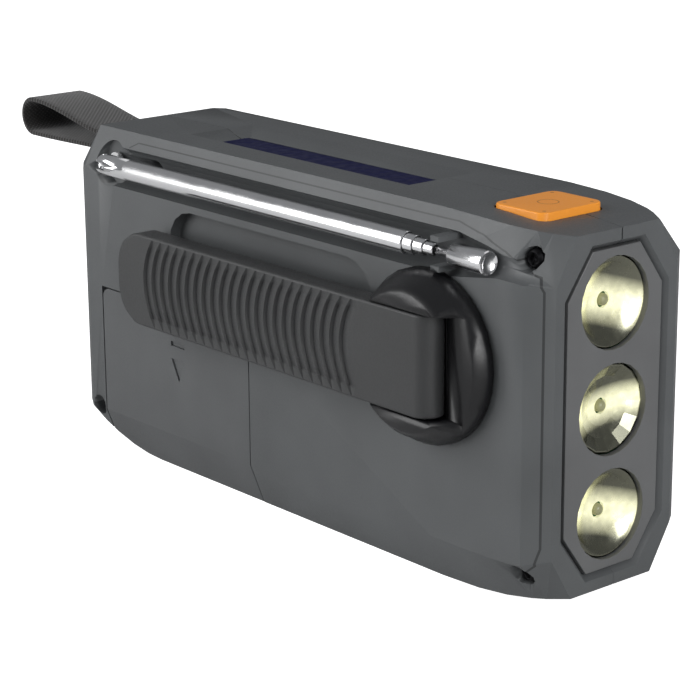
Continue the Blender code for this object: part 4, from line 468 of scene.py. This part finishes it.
def make_finishes():
    """Every finish, by its name."""
    tint = colours()
    finishes.update(
        {
            "housing": moulded_plastic("slate_housing", tint.housing, 0.46),
            "door": moulded_plastic("slate_door", tint.door, 0.47),
            "grip": moulded_plastic("grip_plastic", tint.grip, 0.48),
            "hub": moulded_plastic("hub_plastic", tint.hub, 0.34, 0.12),
            "lens": moulded_plastic("lens_plate_plastic", tint.lens, 0.38, 0.10),
            "call": moulded_plastic("orange_plastic", tint.call, 0.40, 0.12, 0.05),
            "chrome": polished_metal("aerial_chrome", (0.94, 0.94, 0.95), 0.17),
            "steel": polished_metal("plain_steel", (0.50, 0.50, 0.51), 0.32, 0.2),
            "black_steel": polished_metal("black_steel", (0.012, 0.012, 0.013), 0.45),
            "brass": polished_metal("turned_brass", (0.62, 0.46, 0.20), 0.30, 0.2),
            "copper": polished_metal("contact_copper", (0.60, 0.30, 0.16), 0.30, 0.2),
            "gear": moulded_plastic("gear_plastic", (0.74, 0.73, 0.68), 0.42, 0.10, 0.04),
            "cells": sun_cells(),
            "strap": webbing(),
            # The three mirrors carry a painted reflection band that also glows
            "reflector_top": lamp_mirror("top_mirror", "reflector_top", 0.32, 0.80, -0.30),
            "reflector_middle": lamp_mirror("middle_mirror", "reflector_middle", 0.26, 0.80, 0.10),
            "reflector_bottom": lamp_mirror("bottom_mirror", "reflector_bottom", 0.32, 0.80, -0.30),
            "emitter": moulded_plastic("emitter_resin", (0.30, 0.30, 0.17), 0.30, 0.05, 0.10),
            "board": moulded_plastic("board_lacquer", (0.02, 0.13, 0.05), 0.38, 0.10, 0.20),
            "window": clear_plastic(),
            "scale": moulded_plastic("scale_card", (0.66, 0.66, 0.62), 0.60, 0.10, 0.03),
            "ink": moulded_plastic("scale_ink", (0.02, 0.02, 0.02), 0.60, 0.05, 0.10),
            "pointer": moulded_plastic("pointer_red", (0.62, 0.04, 0.02), 0.40, 0.05, 0.05),
            "rubber": moulded_plastic("flap_rubber", (0.022, 0.023, 0.025), 0.75, 0.35, 0.15),
            "cone": moulded_plastic("paper_cone", (0.028, 0.028, 0.028), 0.85, 0.45, 0.20),
            "wrap": moulded_plastic("cell_wrap", (0.05, 0.30, 0.16), 0.34, 0.05, 0.08),
            "ferrite": moulded_plastic("ferrite", (0.03, 0.03, 0.032), 0.55, 0.35, 0.20),
        }
    )
    panel_line(finishes["housing"])
    button_marks(finishes["call"])


def merged(node, flats=False):
    """A copy of a CAD node's mesh with its doubles joined, and its flats made whole where asked."""
    bm = bmesh.new()
    bm.from_mesh(nodes[node].data)
    bmesh.ops.remove_doubles(bm, verts=bm.verts, dist=weld_distance)
    if flats:
        bmesh.ops.dissolve_limit(bm, angle_limit=flat_angle, verts=bm.verts, edges=bm.edges)
    return bm


def round_edges(bm, width, segments, shortest, sharpest):
    """Round the long outward edges of a shape."""
    chosen = []
    for edge in bm.edges:
        if not edge.is_manifold or not edge.is_convex:
            continue
        if edge.calc_length() > shortest and edge.calc_face_angle() > math.radians(sharpest):
            chosen.append(edge)
    bmesh.ops.bevel(
        bm,
        geom=chosen,
        offset=width,
        offset_type="OFFSET",
        segments=segments,
        profile=0.5,
        affect="EDGES",
        clamp_overlap=False,
        material=-1,
    )


def place_piece(
    name, bm, finish, like, replaced=(), crease=crease_angle, weighted=False
):
    """Put a piece in the scene with its finish, on the body of a CAD node."""
    mesh = bpy.data.meshes.new(name)
    bm.to_mesh(mesh)
    bm.free()
    obj = bpy.data.objects.new(name, mesh)
    bpy.context.scene.collection.objects.link(obj)
    mesh.materials.append(finishes[finish])
    mesh.shade_smooth()
    mesh.set_sharp_from_angle(angle=math.radians(crease))
    if weighted:
        weighting = obj.modifiers.new("Flats", "WEIGHTED_NORMAL")
        weighting.keep_sharp = True
    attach(obj, nodes[like]["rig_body"])
    if replaced:
        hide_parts(*replaced)
    return obj


def dress(node, finish, crease=crease_angle):
    """A CAD node as a joined, smooth-shaded piece with its finish."""
    return place_piece(node + "_finished", merged(node), finish, node, (node,), crease)


def spun(profile, steps, centre):
    """A closed profile of (radius, height) points spun about the X axis through a centre."""
    bm = bmesh.new()
    points = [bm.verts.new((0, radius, height)) for radius, height in profile]
    edges = [bm.edges.new(pair) for pair in zip(points, points[1:] + points[:1])]
    bmesh.ops.spin(
        bm,
        geom=points + edges,
        cent=(0, 0, 0),
        axis=(0, 0, 1),
        angle=math.tau,
        steps=steps,
        use_merge=True,
    )
    bmesh.ops.remove_doubles(bm, verts=bm.verts, dist=weld_distance)
    bmesh.ops.recalc_face_normals(bm, faces=bm.faces)
    turn = Matrix.Rotation(math.radians(90), 4, "Y")
    bmesh.ops.transform(bm, matrix=Matrix.Translation(centre) @ turn, verts=bm.verts)
    return bm


class RADIO_OT_housing(bpy.types.Operator):
    """Make the two halves of the housing, and its four screws"""

    bl_idname = "radio.housing"
    bl_label = "Housing"

    def execute(self, context):
        for node, name in (
            ("rear_shell", "housing_rear_half"),
            ("front_shell", "housing_front_half"),
        ):
            place_piece(name, merged(node), "housing", node, (node,), shell_crease, weighted=True)
        for number in (1, 2, 3, 4):
            dress(f"case_screw_{number}", "black_steel")
        return {"FINISHED"}


class RADIO_OT_door(bpy.types.Operator):
    """Make the battery door and what lies behind it"""

    bl_idname = "radio.door"
    bl_label = "Battery door"

    def execute(self, context):
        bm = merged("battery_door", True)
        round_edges(bm, sizes().edge_radius / 3, 2, shortest=0.003, sharpest=30)
        place_piece(
            "battery_door_finished", bm, "door", "battery_door", ("battery_door",), weighted=True
        )
        for number in (1, 2, 3):
            dress(f"battery_cell_{number}", "wrap")
        for side in ("left", "right"):
            dress(f"battery_contact_{side}", "copper")
        return {"FINISHED"}


grip_corner_radius = 0.0085
grip_edge_radius = 0.0005
grip_rib_start = 0.0327
columns_per_rib = 8
rib_rise_share = 0.14
rib_fall_power = 1.4
rib_fade = 0.0022

# How many steps each run of the grip's plan has, and the rows across its width
corner_steps = 4
lead_steps = 9
heel_steps = 12
barrel_steps = 32
back_steps = 24
width_rows = 14
edge_angles = (0, 25, 50, 72, 90)


class RADIO_OT_crank(bpy.types.Operator):
    """Make the crank: the round hub, the ribbed grip and the pin between them"""

    bl_idname = "radio.crank"
    bl_label = "Crank"

    def execute(self, context):
        dress("crank_hub", "hub", turned_crease)
        place_piece(
            "crank_grip_finished",
            grip_shape(),
            "grip",
            "crank_handle",
            ("crank_handle",),
            turned_crease,
        )
        dress("hinge_pin", "steel")
        for node in ("drive_gear", "first_wheel", "second_wheel", "gear_frame"):
            dress(node, "gear")
        for node in ("hub_screw", "first_axle", "second_axle", "generator_can"):
            dress(node, "steel")
        dress("generator_rotor", "brass")
        return {"FINISHED"}


def smooth_step(value):
    """A value from 0 to 1, eased at both ends and held outside them."""
    held = min(max(value, 0), 1)
    return held * held * (3 - 2 * held)


def grip_path():
    """The grip's outline in plan: points, inward normals, and which are on the outer face."""
    low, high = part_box("crank_handle")
    pin_low, pin_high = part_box("hinge_pin")
    pin_x = (pin_low.x + pin_high.x) / 2
    radius = (high.y - low.y) / 2
    pin_y = (low.y + high.y) / 2
    mesh = nodes["crank_handle"].data
    inner_y = max(vert.co.y for vert in mesh.vertices if vert.co.x < low.x + grip_corner_radius)
    edge = grip_edge_radius
    path = []
    for step in range(corner_steps + 1):
        angle = math.radians(90 * step / corner_steps)
        x = low.x + edge * (1 - math.sin(angle))
        y = inner_y - edge * (1 - math.cos(angle))
        path.append((x, y, math.sin(angle), -math.cos(angle), False))
    for step in range(corner_steps + 1):
        angle = math.radians(90 * step / corner_steps)
        x = low.x + edge * (1 - math.cos(angle))
        y = low.y + edge * (1 - math.sin(angle))
        path.append((x, y, math.cos(angle), math.sin(angle), False))
    first_rib = grip_rib_start - sizes().rib_count * sizes().rib_pitch
    lead = low.x + edge
    for step in range(1, lead_steps):
        path.append((lead + (first_rib - lead) * step / lead_steps, low.y, 0, 1, True))
    for step in range(sizes().rib_count * columns_per_rib + 1):
        x = first_rib + step * sizes().rib_pitch / columns_per_rib
        path.append((x, low.y, 0, 1, True))
    for step in range(1, heel_steps):
        x = grip_rib_start + (pin_x - grip_rib_start) * step / heel_steps
        path.append((x, low.y, 0, 1, True))
    turn = math.pi - math.asin((inner_y - pin_y) / radius)
    for step in range(barrel_steps + 1):
        angle = -math.pi / 2 + (turn + math.pi / 2) * step / barrel_steps
        out = Vector((math.cos(angle), math.sin(angle)))
        path.append((pin_x + radius * out.x, pin_y + radius * out.y, -out.x, -out.y, False))
    end_x = path[-1][0]
    for step in range(1, back_steps):
        x = end_x + (low.x + edge - end_x) * step / back_steps
        path.append((x, inner_y, 0, -1, False))
    return path


def grip_bend(x, rise, half, tip_x):
    """How far a point is carried towards the hub, which curves the ribs and the tip."""
    over = max(0, abs(rise) - half + grip_corner_radius)
    tip = grip_corner_radius - math.sqrt(max(0, grip_corner_radius**2 - over**2))
    arc = sizes().rib_radius - math.sqrt(sizes().rib_radius**2 - rise**2)
    first_rib = grip_rib_start - sizes().rib_count * sizes().rib_pitch
    near_tip = 1 - smooth_step((x - tip_x) / (first_rib - tip_x))
    near_pin = smooth_step((x - grip_rib_start) / grip_corner_radius)
    return tip * near_tip + arc * (1 - near_tip) * (1 - near_pin)


def rib_sink(x, rise, half):
    """How deep the outer face lies under a rib's crest at a point."""
    first_rib = grip_rib_start - sizes().rib_count * sizes().rib_pitch
    if not first_rib <= x < grip_rib_start - weld_distance:
        return 0
    turn = ((x - first_rib) / sizes().rib_pitch + weld_distance) % 1
    if turn < rib_rise_share:
        share = smooth_step(turn / rib_rise_share)
    else:
        share = (1 - (turn - rib_rise_share) / (1 - rib_rise_share)) ** rib_fall_power
    fade = smooth_step((half - grip_edge_radius - abs(rise)) / rib_fade)
    return sizes().rib_depth * share * fade


def grip_shape():
    """The grip: its plan drawn as one face, extruded across its width and then shaped.

    It is solid: the CAD handle's bore for the hinge pin is left out.
    """
    low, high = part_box("crank_handle")
    half = (high.z - low.z) / 2
    middle = (high.z + low.z) / 2
    edge = grip_edge_radius
    rises = [half * step / width_rows for step in range(width_rows - 2)]
    rises += [half - edge * (1 - math.sin(math.radians(angle))) for angle in edge_angles]
    rises = [-rise for rise in reversed(rises[1:])] + rises
    path = grip_path()
    bm = bmesh.new()
    corner = bm.verts.layers.int.new("path_point")
    outline = []
    for number, (x, y, *_) in enumerate(path):
        vert = bm.verts.new((x, y, rises[0]))
        vert[corner] = number
        outline.append(vert)
    cap = bm.faces.new(outline)
    for lower, upper in zip(rises, rises[1:]):
        made = bmesh.ops.extrude_face_region(bm, geom=[cap], use_keep_orig=lower == rises[0])
        verts = [part for part in made["geom"] if isinstance(part, bmesh.types.BMVert)]
        cap = next(part for part in made["geom"] if isinstance(part, bmesh.types.BMFace))
        bmesh.ops.translate(bm, vec=(0, 0, upper - lower), verts=verts)
    for vert in bm.verts:
        x, y, in_x, in_y, outer = path[vert[corner]]
        rise = vert.co.z
        inset = edge - math.sqrt(max(0, edge**2 - max(0, abs(rise) - half + edge) ** 2))
        sunk = rib_sink(x, rise, half) if outer else 0
        across = x + inset * in_x + grip_bend(x, rise, half, low.x)
        vert.co = (across, y + inset * in_y + sunk * in_y, middle + rise)
    bmesh.ops.recalc_face_normals(bm, faces=bm.faces)
    return bm


class RADIO_OT_aerial(bpy.types.Operator):
    """Make the aerial, from its stud to its tip"""

    bl_idname = "radio.aerial"
    bl_label = "Aerial"

    def execute(self, context):
        for node in ("aerial_stud", "aerial_knuckle", "aerial_pin", "aerial_rod"):
            dress(node, "chrome")
        for number in (1, 2, 3, 4):
            dress(f"aerial_tube_{number}", "chrome")
        return {"FINISHED"}


cup_steps = 72
cup_rings = 8
facet_steps = 16
facet_rings = 3

# Radii of the cups as shares of their flange, and depths as shares of their own
cup_rim_share = 0.928
cup_hole_share = 0.174
cup_back_share = 0.7
cup_wall_share = 0.25
cup_seat_share = 0.36
cup_curve_power = 2.2


class RADIO_OT_lamps(bpy.types.Operator):
    """Make the lamp end: the plate, three cups and their lamps"""

    bl_idname = "radio.lamps"
    bl_label = "Lamps"

    def execute(self, context):
        plate = merged("lens_plate", True)
        round_edges(plate, sizes().edge_radius / 2, 2, shortest=0.001, sharpest=40)
        place_piece(
            "lens_plate_finished", plate, "lens", "lens_plate", ("lens_plate",), weighted=True
        )
        for place in ("top", "middle", "bottom"):
            faceted = place == "middle"
            steps = facet_steps if faceted else cup_steps
            rings = facet_rings if faceted else cup_rings
            node = "reflector_" + place
            crease = facet_crease if faceted else cup_crease
            cup = self.cup(node, steps, rings)
            place_piece(node + "_finished", cup, node, node, (node,), crease)
            dress(f"lamp_led_{place}", "emitter", cup_crease)
        dress("lamp_board", "board")
        return {"FINISHED"}

    def cup(self, node, steps, rings):
        """A dished mirror between the CAD cup's own ends."""
        low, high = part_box(node)
        centre = (0, (low.y + high.y) / 2, (low.z + high.z) / 2)
        flange = (high.z - low.z) / 2
        rim = flange * cup_rim_share
        hole = flange * cup_hole_share
        depth = high.x - low.x
        wall = depth * cup_wall_share
        floor = low.x + wall
        profile = [(hole, floor)]
        for ring in range(1, rings + 1):
            share = ring / rings
            radius = hole + (rim - wall / 3 - hole) * share
            profile.append((radius, floor + (high.x - floor) * share**cup_curve_power))
        seat = high.x - depth * cup_seat_share
        profile += [
            (rim, high.x),
            (rim, seat),
            (flange, seat),
            (flange, seat - wall * 0.8),
            (rim, seat - wall * 0.8),
            (rim * cup_back_share, low.x + wall * 0.6),
            (hole + wall, low.x),
            (hole, low.x),
        ]
        return spun(profile, steps, centre)


class RADIO_OT_top(bpy.types.Operator):
    """Make the sun panel, the call button and its switch"""

    bl_idname = "radio.top"
    bl_label = "Sun panel and call button"

    def execute(self, context):
        dress("solar_panel", "cells")
        place_piece(
            "call_button_finished",
            merged("call_button"),
            "call",
            "call_button",
            ("call_button",),
            button_crease,
            weighted=True,
        )
        dress("call_switch", "steel")
        return {"FINISHED"}


scale_ticks = 31
ticks_per_group = 5
tick_width = 0.0003
tick_rise = 0.00008


class RADIO_OT_controls(bpy.types.Operator):
    """Make the dial side: knobs, dial, band switch, key and loudspeaker"""

    bl_idname = "radio.controls"
    bl_label = "Controls"

    def execute(self, context):
        for node in ("tuning_knob", "volume_knob"):
            place_piece(
                node + "_finished", merged(node), "hub", node, (node,), turned_crease, weighted=True
            )
        for node in ("tuning_capacitor", "volume_control", "speaker_basket"):
            dress(node, "steel")
        dress("speaker_cone", "cone", cup_crease)
        dress("dial_window", "window")
        dress("dial_scale", "scale")
        self.ticks()
        dress("dial_pointer", "pointer")
        dress("band_slider", "hub")
        dress("lamp_key", "call", cup_crease)
        dress("circuit_board", "board")
        dress("ferrite_rod", "ferrite")
        return {"FINISHED"}

    def ticks(self):
        """A row of marks printed on the scale, every fifth one longer."""
        low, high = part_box("dial_scale")
        margin = (high.x - low.x) / 12
        pitch = (high.x - low.x - 2 * margin) / (scale_ticks - 1)
        height = (high.z - low.z) / 9
        middle = (low.z + high.z) / 2
        marks = bmesh.new()
        for tick in range(scale_ticks):
            x = low.x + margin + tick * pitch
            rise = height * (2 if tick % ticks_per_group == 0 else 1)
            made = bmesh.ops.create_cube(marks, size=1)["verts"]
            bmesh.ops.scale(marks, vec=(tick_width, tick_rise, rise), verts=made)
            spot = (x, high.y + tick_rise / 2, middle - rise / 2)
            bmesh.ops.translate(marks, vec=spot, verts=made)
        place_piece("dial_scale_marks", marks, "ink", "dial_scale")


strap_gap = 0.0009
strap_neck_run = 0.0058
strap_neck_half = 0.0016
strap_tip_half = 0.0042
strap_tip_margin = 0.0048
strap_columns = 8
strap_pin_steps = 12
strap_run_steps = 40
strap_tip_steps = 24


class RADIO_OT_strap(bpy.types.Operator):
    """Make the wrist strap: a loop of webbing round its pin"""

    bl_idname = "radio.strap"
    bl_label = "Wrist strap"

    def execute(self, context):
        low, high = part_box("wrist_strap")
        line = strap_line()
        thickness = sizes().strap_thickness
        bm = bmesh.new()
        map_layer = bm.loops.layers.uv.new("strap_map")
        lengths = [0.0]
        for first, second in zip(line, line[1:] + line[:1]):
            lengths.append(lengths[-1] + (second - first).length)
        across = strap_columns
        rows = []
        for point in line:
            row = []
            for column in range(across + 1):
                y = low.y + (high.y - low.y) * column / across
                row.append(bm.verts.new((point.x, y, point.z)))
            rows.append(row)
        width = high.y - low.y
        for index, row in enumerate(rows):
            following = rows[(index + 1) % len(rows)]
            for column in range(across):
                face = bm.faces.new(
                    (row[column], row[column + 1], following[column + 1], following[column])
                )
                places = (
                    (column, lengths[index]),
                    (column + 1, lengths[index]),
                    (column + 1, lengths[index + 1]),
                    (column, lengths[index + 1]),
                )
                for loop, (step, along) in zip(face.loops, places):
                    loop[map_layer].uv = (width * step / across, along)
        bmesh.ops.recalc_face_normals(bm, faces=bm.faces)
        strap = place_piece(
            "wrist_strap_webbing", bm, "strap", "wrist_strap", ("wrist_strap",), cloth_crease
        )
        wall = strap.modifiers.new("Thickness", "SOLIDIFY")
        wall.thickness = thickness
        wall.offset = 0
        edge = strap.modifiers.new("Edges", "BEVEL")
        edge.width = thickness / 4
        edge.segments = 2
        edge.limit_method = "ANGLE"
        print("strap flat size", round(width, 4), round(lengths[-1], 4))
        dress("strap_pin", "steel")
        return {"FINISHED"}


def strap_line():
    """The strap's centre line from the side: round its pin, out and round its tip."""
    low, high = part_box("wrist_strap")
    pin_low, pin_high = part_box("strap_pin")
    pin = (pin_low + pin_high) / 2
    round_pin = (pin_high.z - pin_low.z) / 2 + strap_gap
    tip = Vector((low.x + strap_tip_margin, 0, high.z - strap_tip_margin))
    neck_x = pin.x - strap_neck_run
    line = []
    for step in range(strap_pin_steps + 1):
        angle = math.radians(-90 + 180 * step / strap_pin_steps)
        x = pin.x + round_pin * math.cos(angle)
        line.append(Vector((x, 0, pin.z + round_pin * math.sin(angle))))
    upper, lower = [], []
    for step in range(strap_run_steps + 1):
        x = neck_x + (tip.x - neck_x) * step / strap_run_steps
        bend = (1 - math.cos(math.pi * step / strap_run_steps)) / 2
        z = pin.z + (tip.z - pin.z) * bend
        half = strap_neck_half + (strap_tip_half - strap_neck_half) * bend
        upper.append(Vector((x, 0, z + half)))
        lower.append(Vector((x, 0, z - half)))
    line += upper
    for step in range(1, strap_tip_steps):
        angle = math.radians(90 + 180 * step / strap_tip_steps)
        x = tip.x + strap_tip_half * math.cos(angle)
        line.append(Vector((x, 0, tip.z + strap_tip_half * math.sin(angle))))
    return line + lower[::-1]


class RADIO_OT_socket(bpy.types.Operator):
    """Make the charging socket and its rubber flap"""

    bl_idname = "radio.socket"
    bl_label = "Charging socket"

    def execute(self, context):
        dress("charge_socket", "steel")
        dress("socket_flap", "rubber", turned_crease)
        return {"FINISHED"}


camera_place = (0.37965, -0.32476, 0.17867)
camera_yaw = 49.67
camera_pitch = 16.08
camera_roll = -0.40
camera_lens = 119.96
camera_sensor = 36
floor_size = 6.0
floor_tone = 0.75
world_strength = 0.24
white = (1, 1, 1, 1)

# Each lamp's name, place, size in metres and power in watts, and the point they aim at
stage_lamps = (
    ("key_light", (-0.50, -0.85, 0.42), 0.85, 8.5),
    ("fill_light", (0.90, -0.10, 0.35), 0.50, 5.0),
    ("top_light", (0.10, 0.35, 0.90), 0.60, 0.5),
)
lamp_aim = Vector((0, 0, 0.04))


class RADIO_OT_stage(bpy.types.Operator):
    """Set the camera, the lights, the floor and the pale surroundings"""

    bl_idname = "radio.stage"
    bl_label = "Stage"

    def execute(self, context):
        scene = context.scene
        scene.view_settings.view_transform = "Standard"
        self.camera(scene)
        self.floor()
        self.surroundings(scene)
        for name, place, size, power in stage_lamps:
            self.lamp(scene, name, Vector(place), size, power)
        return {"FINISHED"}

    def camera(self, scene):
        """The photograph's view."""
        data = bpy.data.cameras.new("photo_camera")
        data.lens = camera_lens
        data.sensor_width = camera_sensor
        camera = bpy.data.objects.new("photo_camera", data)
        scene.collection.objects.link(camera)
        yaw = Matrix.Rotation(math.radians(camera_yaw), 4, "Z")
        pitch = Matrix.Rotation(math.radians(90 - camera_pitch), 4, "X")
        roll = Matrix.Rotation(math.radians(camera_roll), 4, "Z")
        camera.matrix_world = Matrix.Translation(camera_place) @ yaw @ pitch @ roll
        scene.camera = camera

    def lamp(self, scene, name, place, size, power):
        """A soft square lamp that points at the radio."""
        data = bpy.data.lights.new(name, "AREA")
        data.size = size
        data.energy = power
        lamp = bpy.data.objects.new(name, data)
        scene.collection.objects.link(lamp)
        facing = (lamp_aim - place).to_track_quat("-Z", "Y").to_matrix().to_4x4()
        lamp.matrix_world = Matrix.Translation(place) @ facing

    def floor(self):
        """A plain pale floor, that the camera sees as almost white with the radio's shadow."""
        bm = bmesh.new()
        bmesh.ops.create_grid(bm, x_segments=1, y_segments=1, size=floor_size / 2)
        mesh = bpy.data.meshes.new("floor")
        bm.to_mesh(mesh)
        bm.free()
        floor = bpy.data.objects.new("floor", mesh)
        bpy.context.scene.collection.objects.link(floor)
        made = bpy.data.materials.new("pale_floor")
        made.use_nodes = True
        tree = made.node_tree
        shader = tree.nodes["Principled BSDF"]
        shader.inputs["Base Color"].default_value = (floor_tone, floor_tone, floor_tone, 1)
        shader.inputs["Roughness"].default_value = 0.9
        shader.inputs["Specular IOR Level"].default_value = 0.1
        seen = seen_rays(tree)
        glow = tree.nodes.new("ShaderNodeEmission")
        glow.inputs["Color"].default_value = white
        tree.links.new(seen, glow.inputs["Strength"])
        both = tree.nodes.new("ShaderNodeAddShader")
        tree.links.new(shader.outputs["BSDF"], both.inputs[0])
        tree.links.new(glow.outputs["Emission"], both.inputs[1])
        tree.links.new(both.outputs["Shader"], tree.nodes["Material Output"].inputs["Surface"])
        mesh.materials.append(made)

    def surroundings(self, scene):
        """A soft grey world, which the camera alone sees as white."""
        world = bpy.data.worlds.new("studio")
        scene.world = world
        world.use_nodes = True
        tree = world.node_tree
        soft = tree.nodes["Background"]
        soft.inputs["Color"].default_value = (0.9, 0.92, 0.95, 1)
        soft.inputs["Strength"].default_value = world_strength
        bright = tree.nodes.new("ShaderNodeBackground")
        bright.inputs["Color"].default_value = white
        bright.inputs["Strength"].default_value = 1.0
        mix = tree.nodes.new("ShaderNodeMixShader")
        tree.links.new(seen_rays(tree), mix.inputs["Fac"])
        tree.links.new(soft.outputs["Background"], mix.inputs[1])
        tree.links.new(bright.outputs["Background"], mix.inputs[2])
        tree.links.new(mix.outputs["Shader"], tree.nodes["World Output"].inputs["Surface"])


def seen_rays(tree):
    """1 for rays from the camera, 0 for the light that falls on the object."""
    path = tree.nodes.new("ShaderNodeLightPath")
    return path.outputs["Is Camera Ray"]


class RADIO_PT_panel(bpy.types.Panel):
    """The radio's sizes, colours and pieces"""

    bl_idname = "RADIO_PT_panel"
    bl_label = "Wind-up radio"
    bl_space_type = "VIEW_3D"
    bl_region_type = "UI"
    bl_category = "Radio"

    def draw(self, context):
        for group in (context.scene.radio_sizes, context.scene.radio_colours):
            for name in group.__annotations__:
                self.layout.prop(group, name)
        for operator in operators:
            self.layout.operator(operator.bl_idname)


operators = (
    RADIO_OT_housing,
    RADIO_OT_door,
    RADIO_OT_crank,
    RADIO_OT_aerial,
    RADIO_OT_lamps,
    RADIO_OT_top,
    RADIO_OT_controls,
    RADIO_OT_strap,
    RADIO_OT_socket,
    RADIO_OT_stage,
)
classes = (RadioSizes, RadioColours, *operators, RADIO_PT_panel)


def register():
    """Add the classes and their settings."""
    for item in classes:
        bpy.utils.register_class(item)
    bpy.types.Scene.radio_sizes = PointerProperty(type=RadioSizes)
    bpy.types.Scene.radio_colours = PointerProperty(type=RadioColours)


def unregister():
    """Take the classes and their settings away."""
    del bpy.types.Scene.radio_colours
    del bpy.types.Scene.radio_sizes
    for item in reversed(classes):
        bpy.utils.unregister_class(item)


def main():
    """Make every piece."""
    register()
    make_finishes()
    for operator in operators:
        group, name = operator.bl_idname.split(".")
        getattr(getattr(bpy.ops, group), name)()


if __name__ == "__main__":
    main()
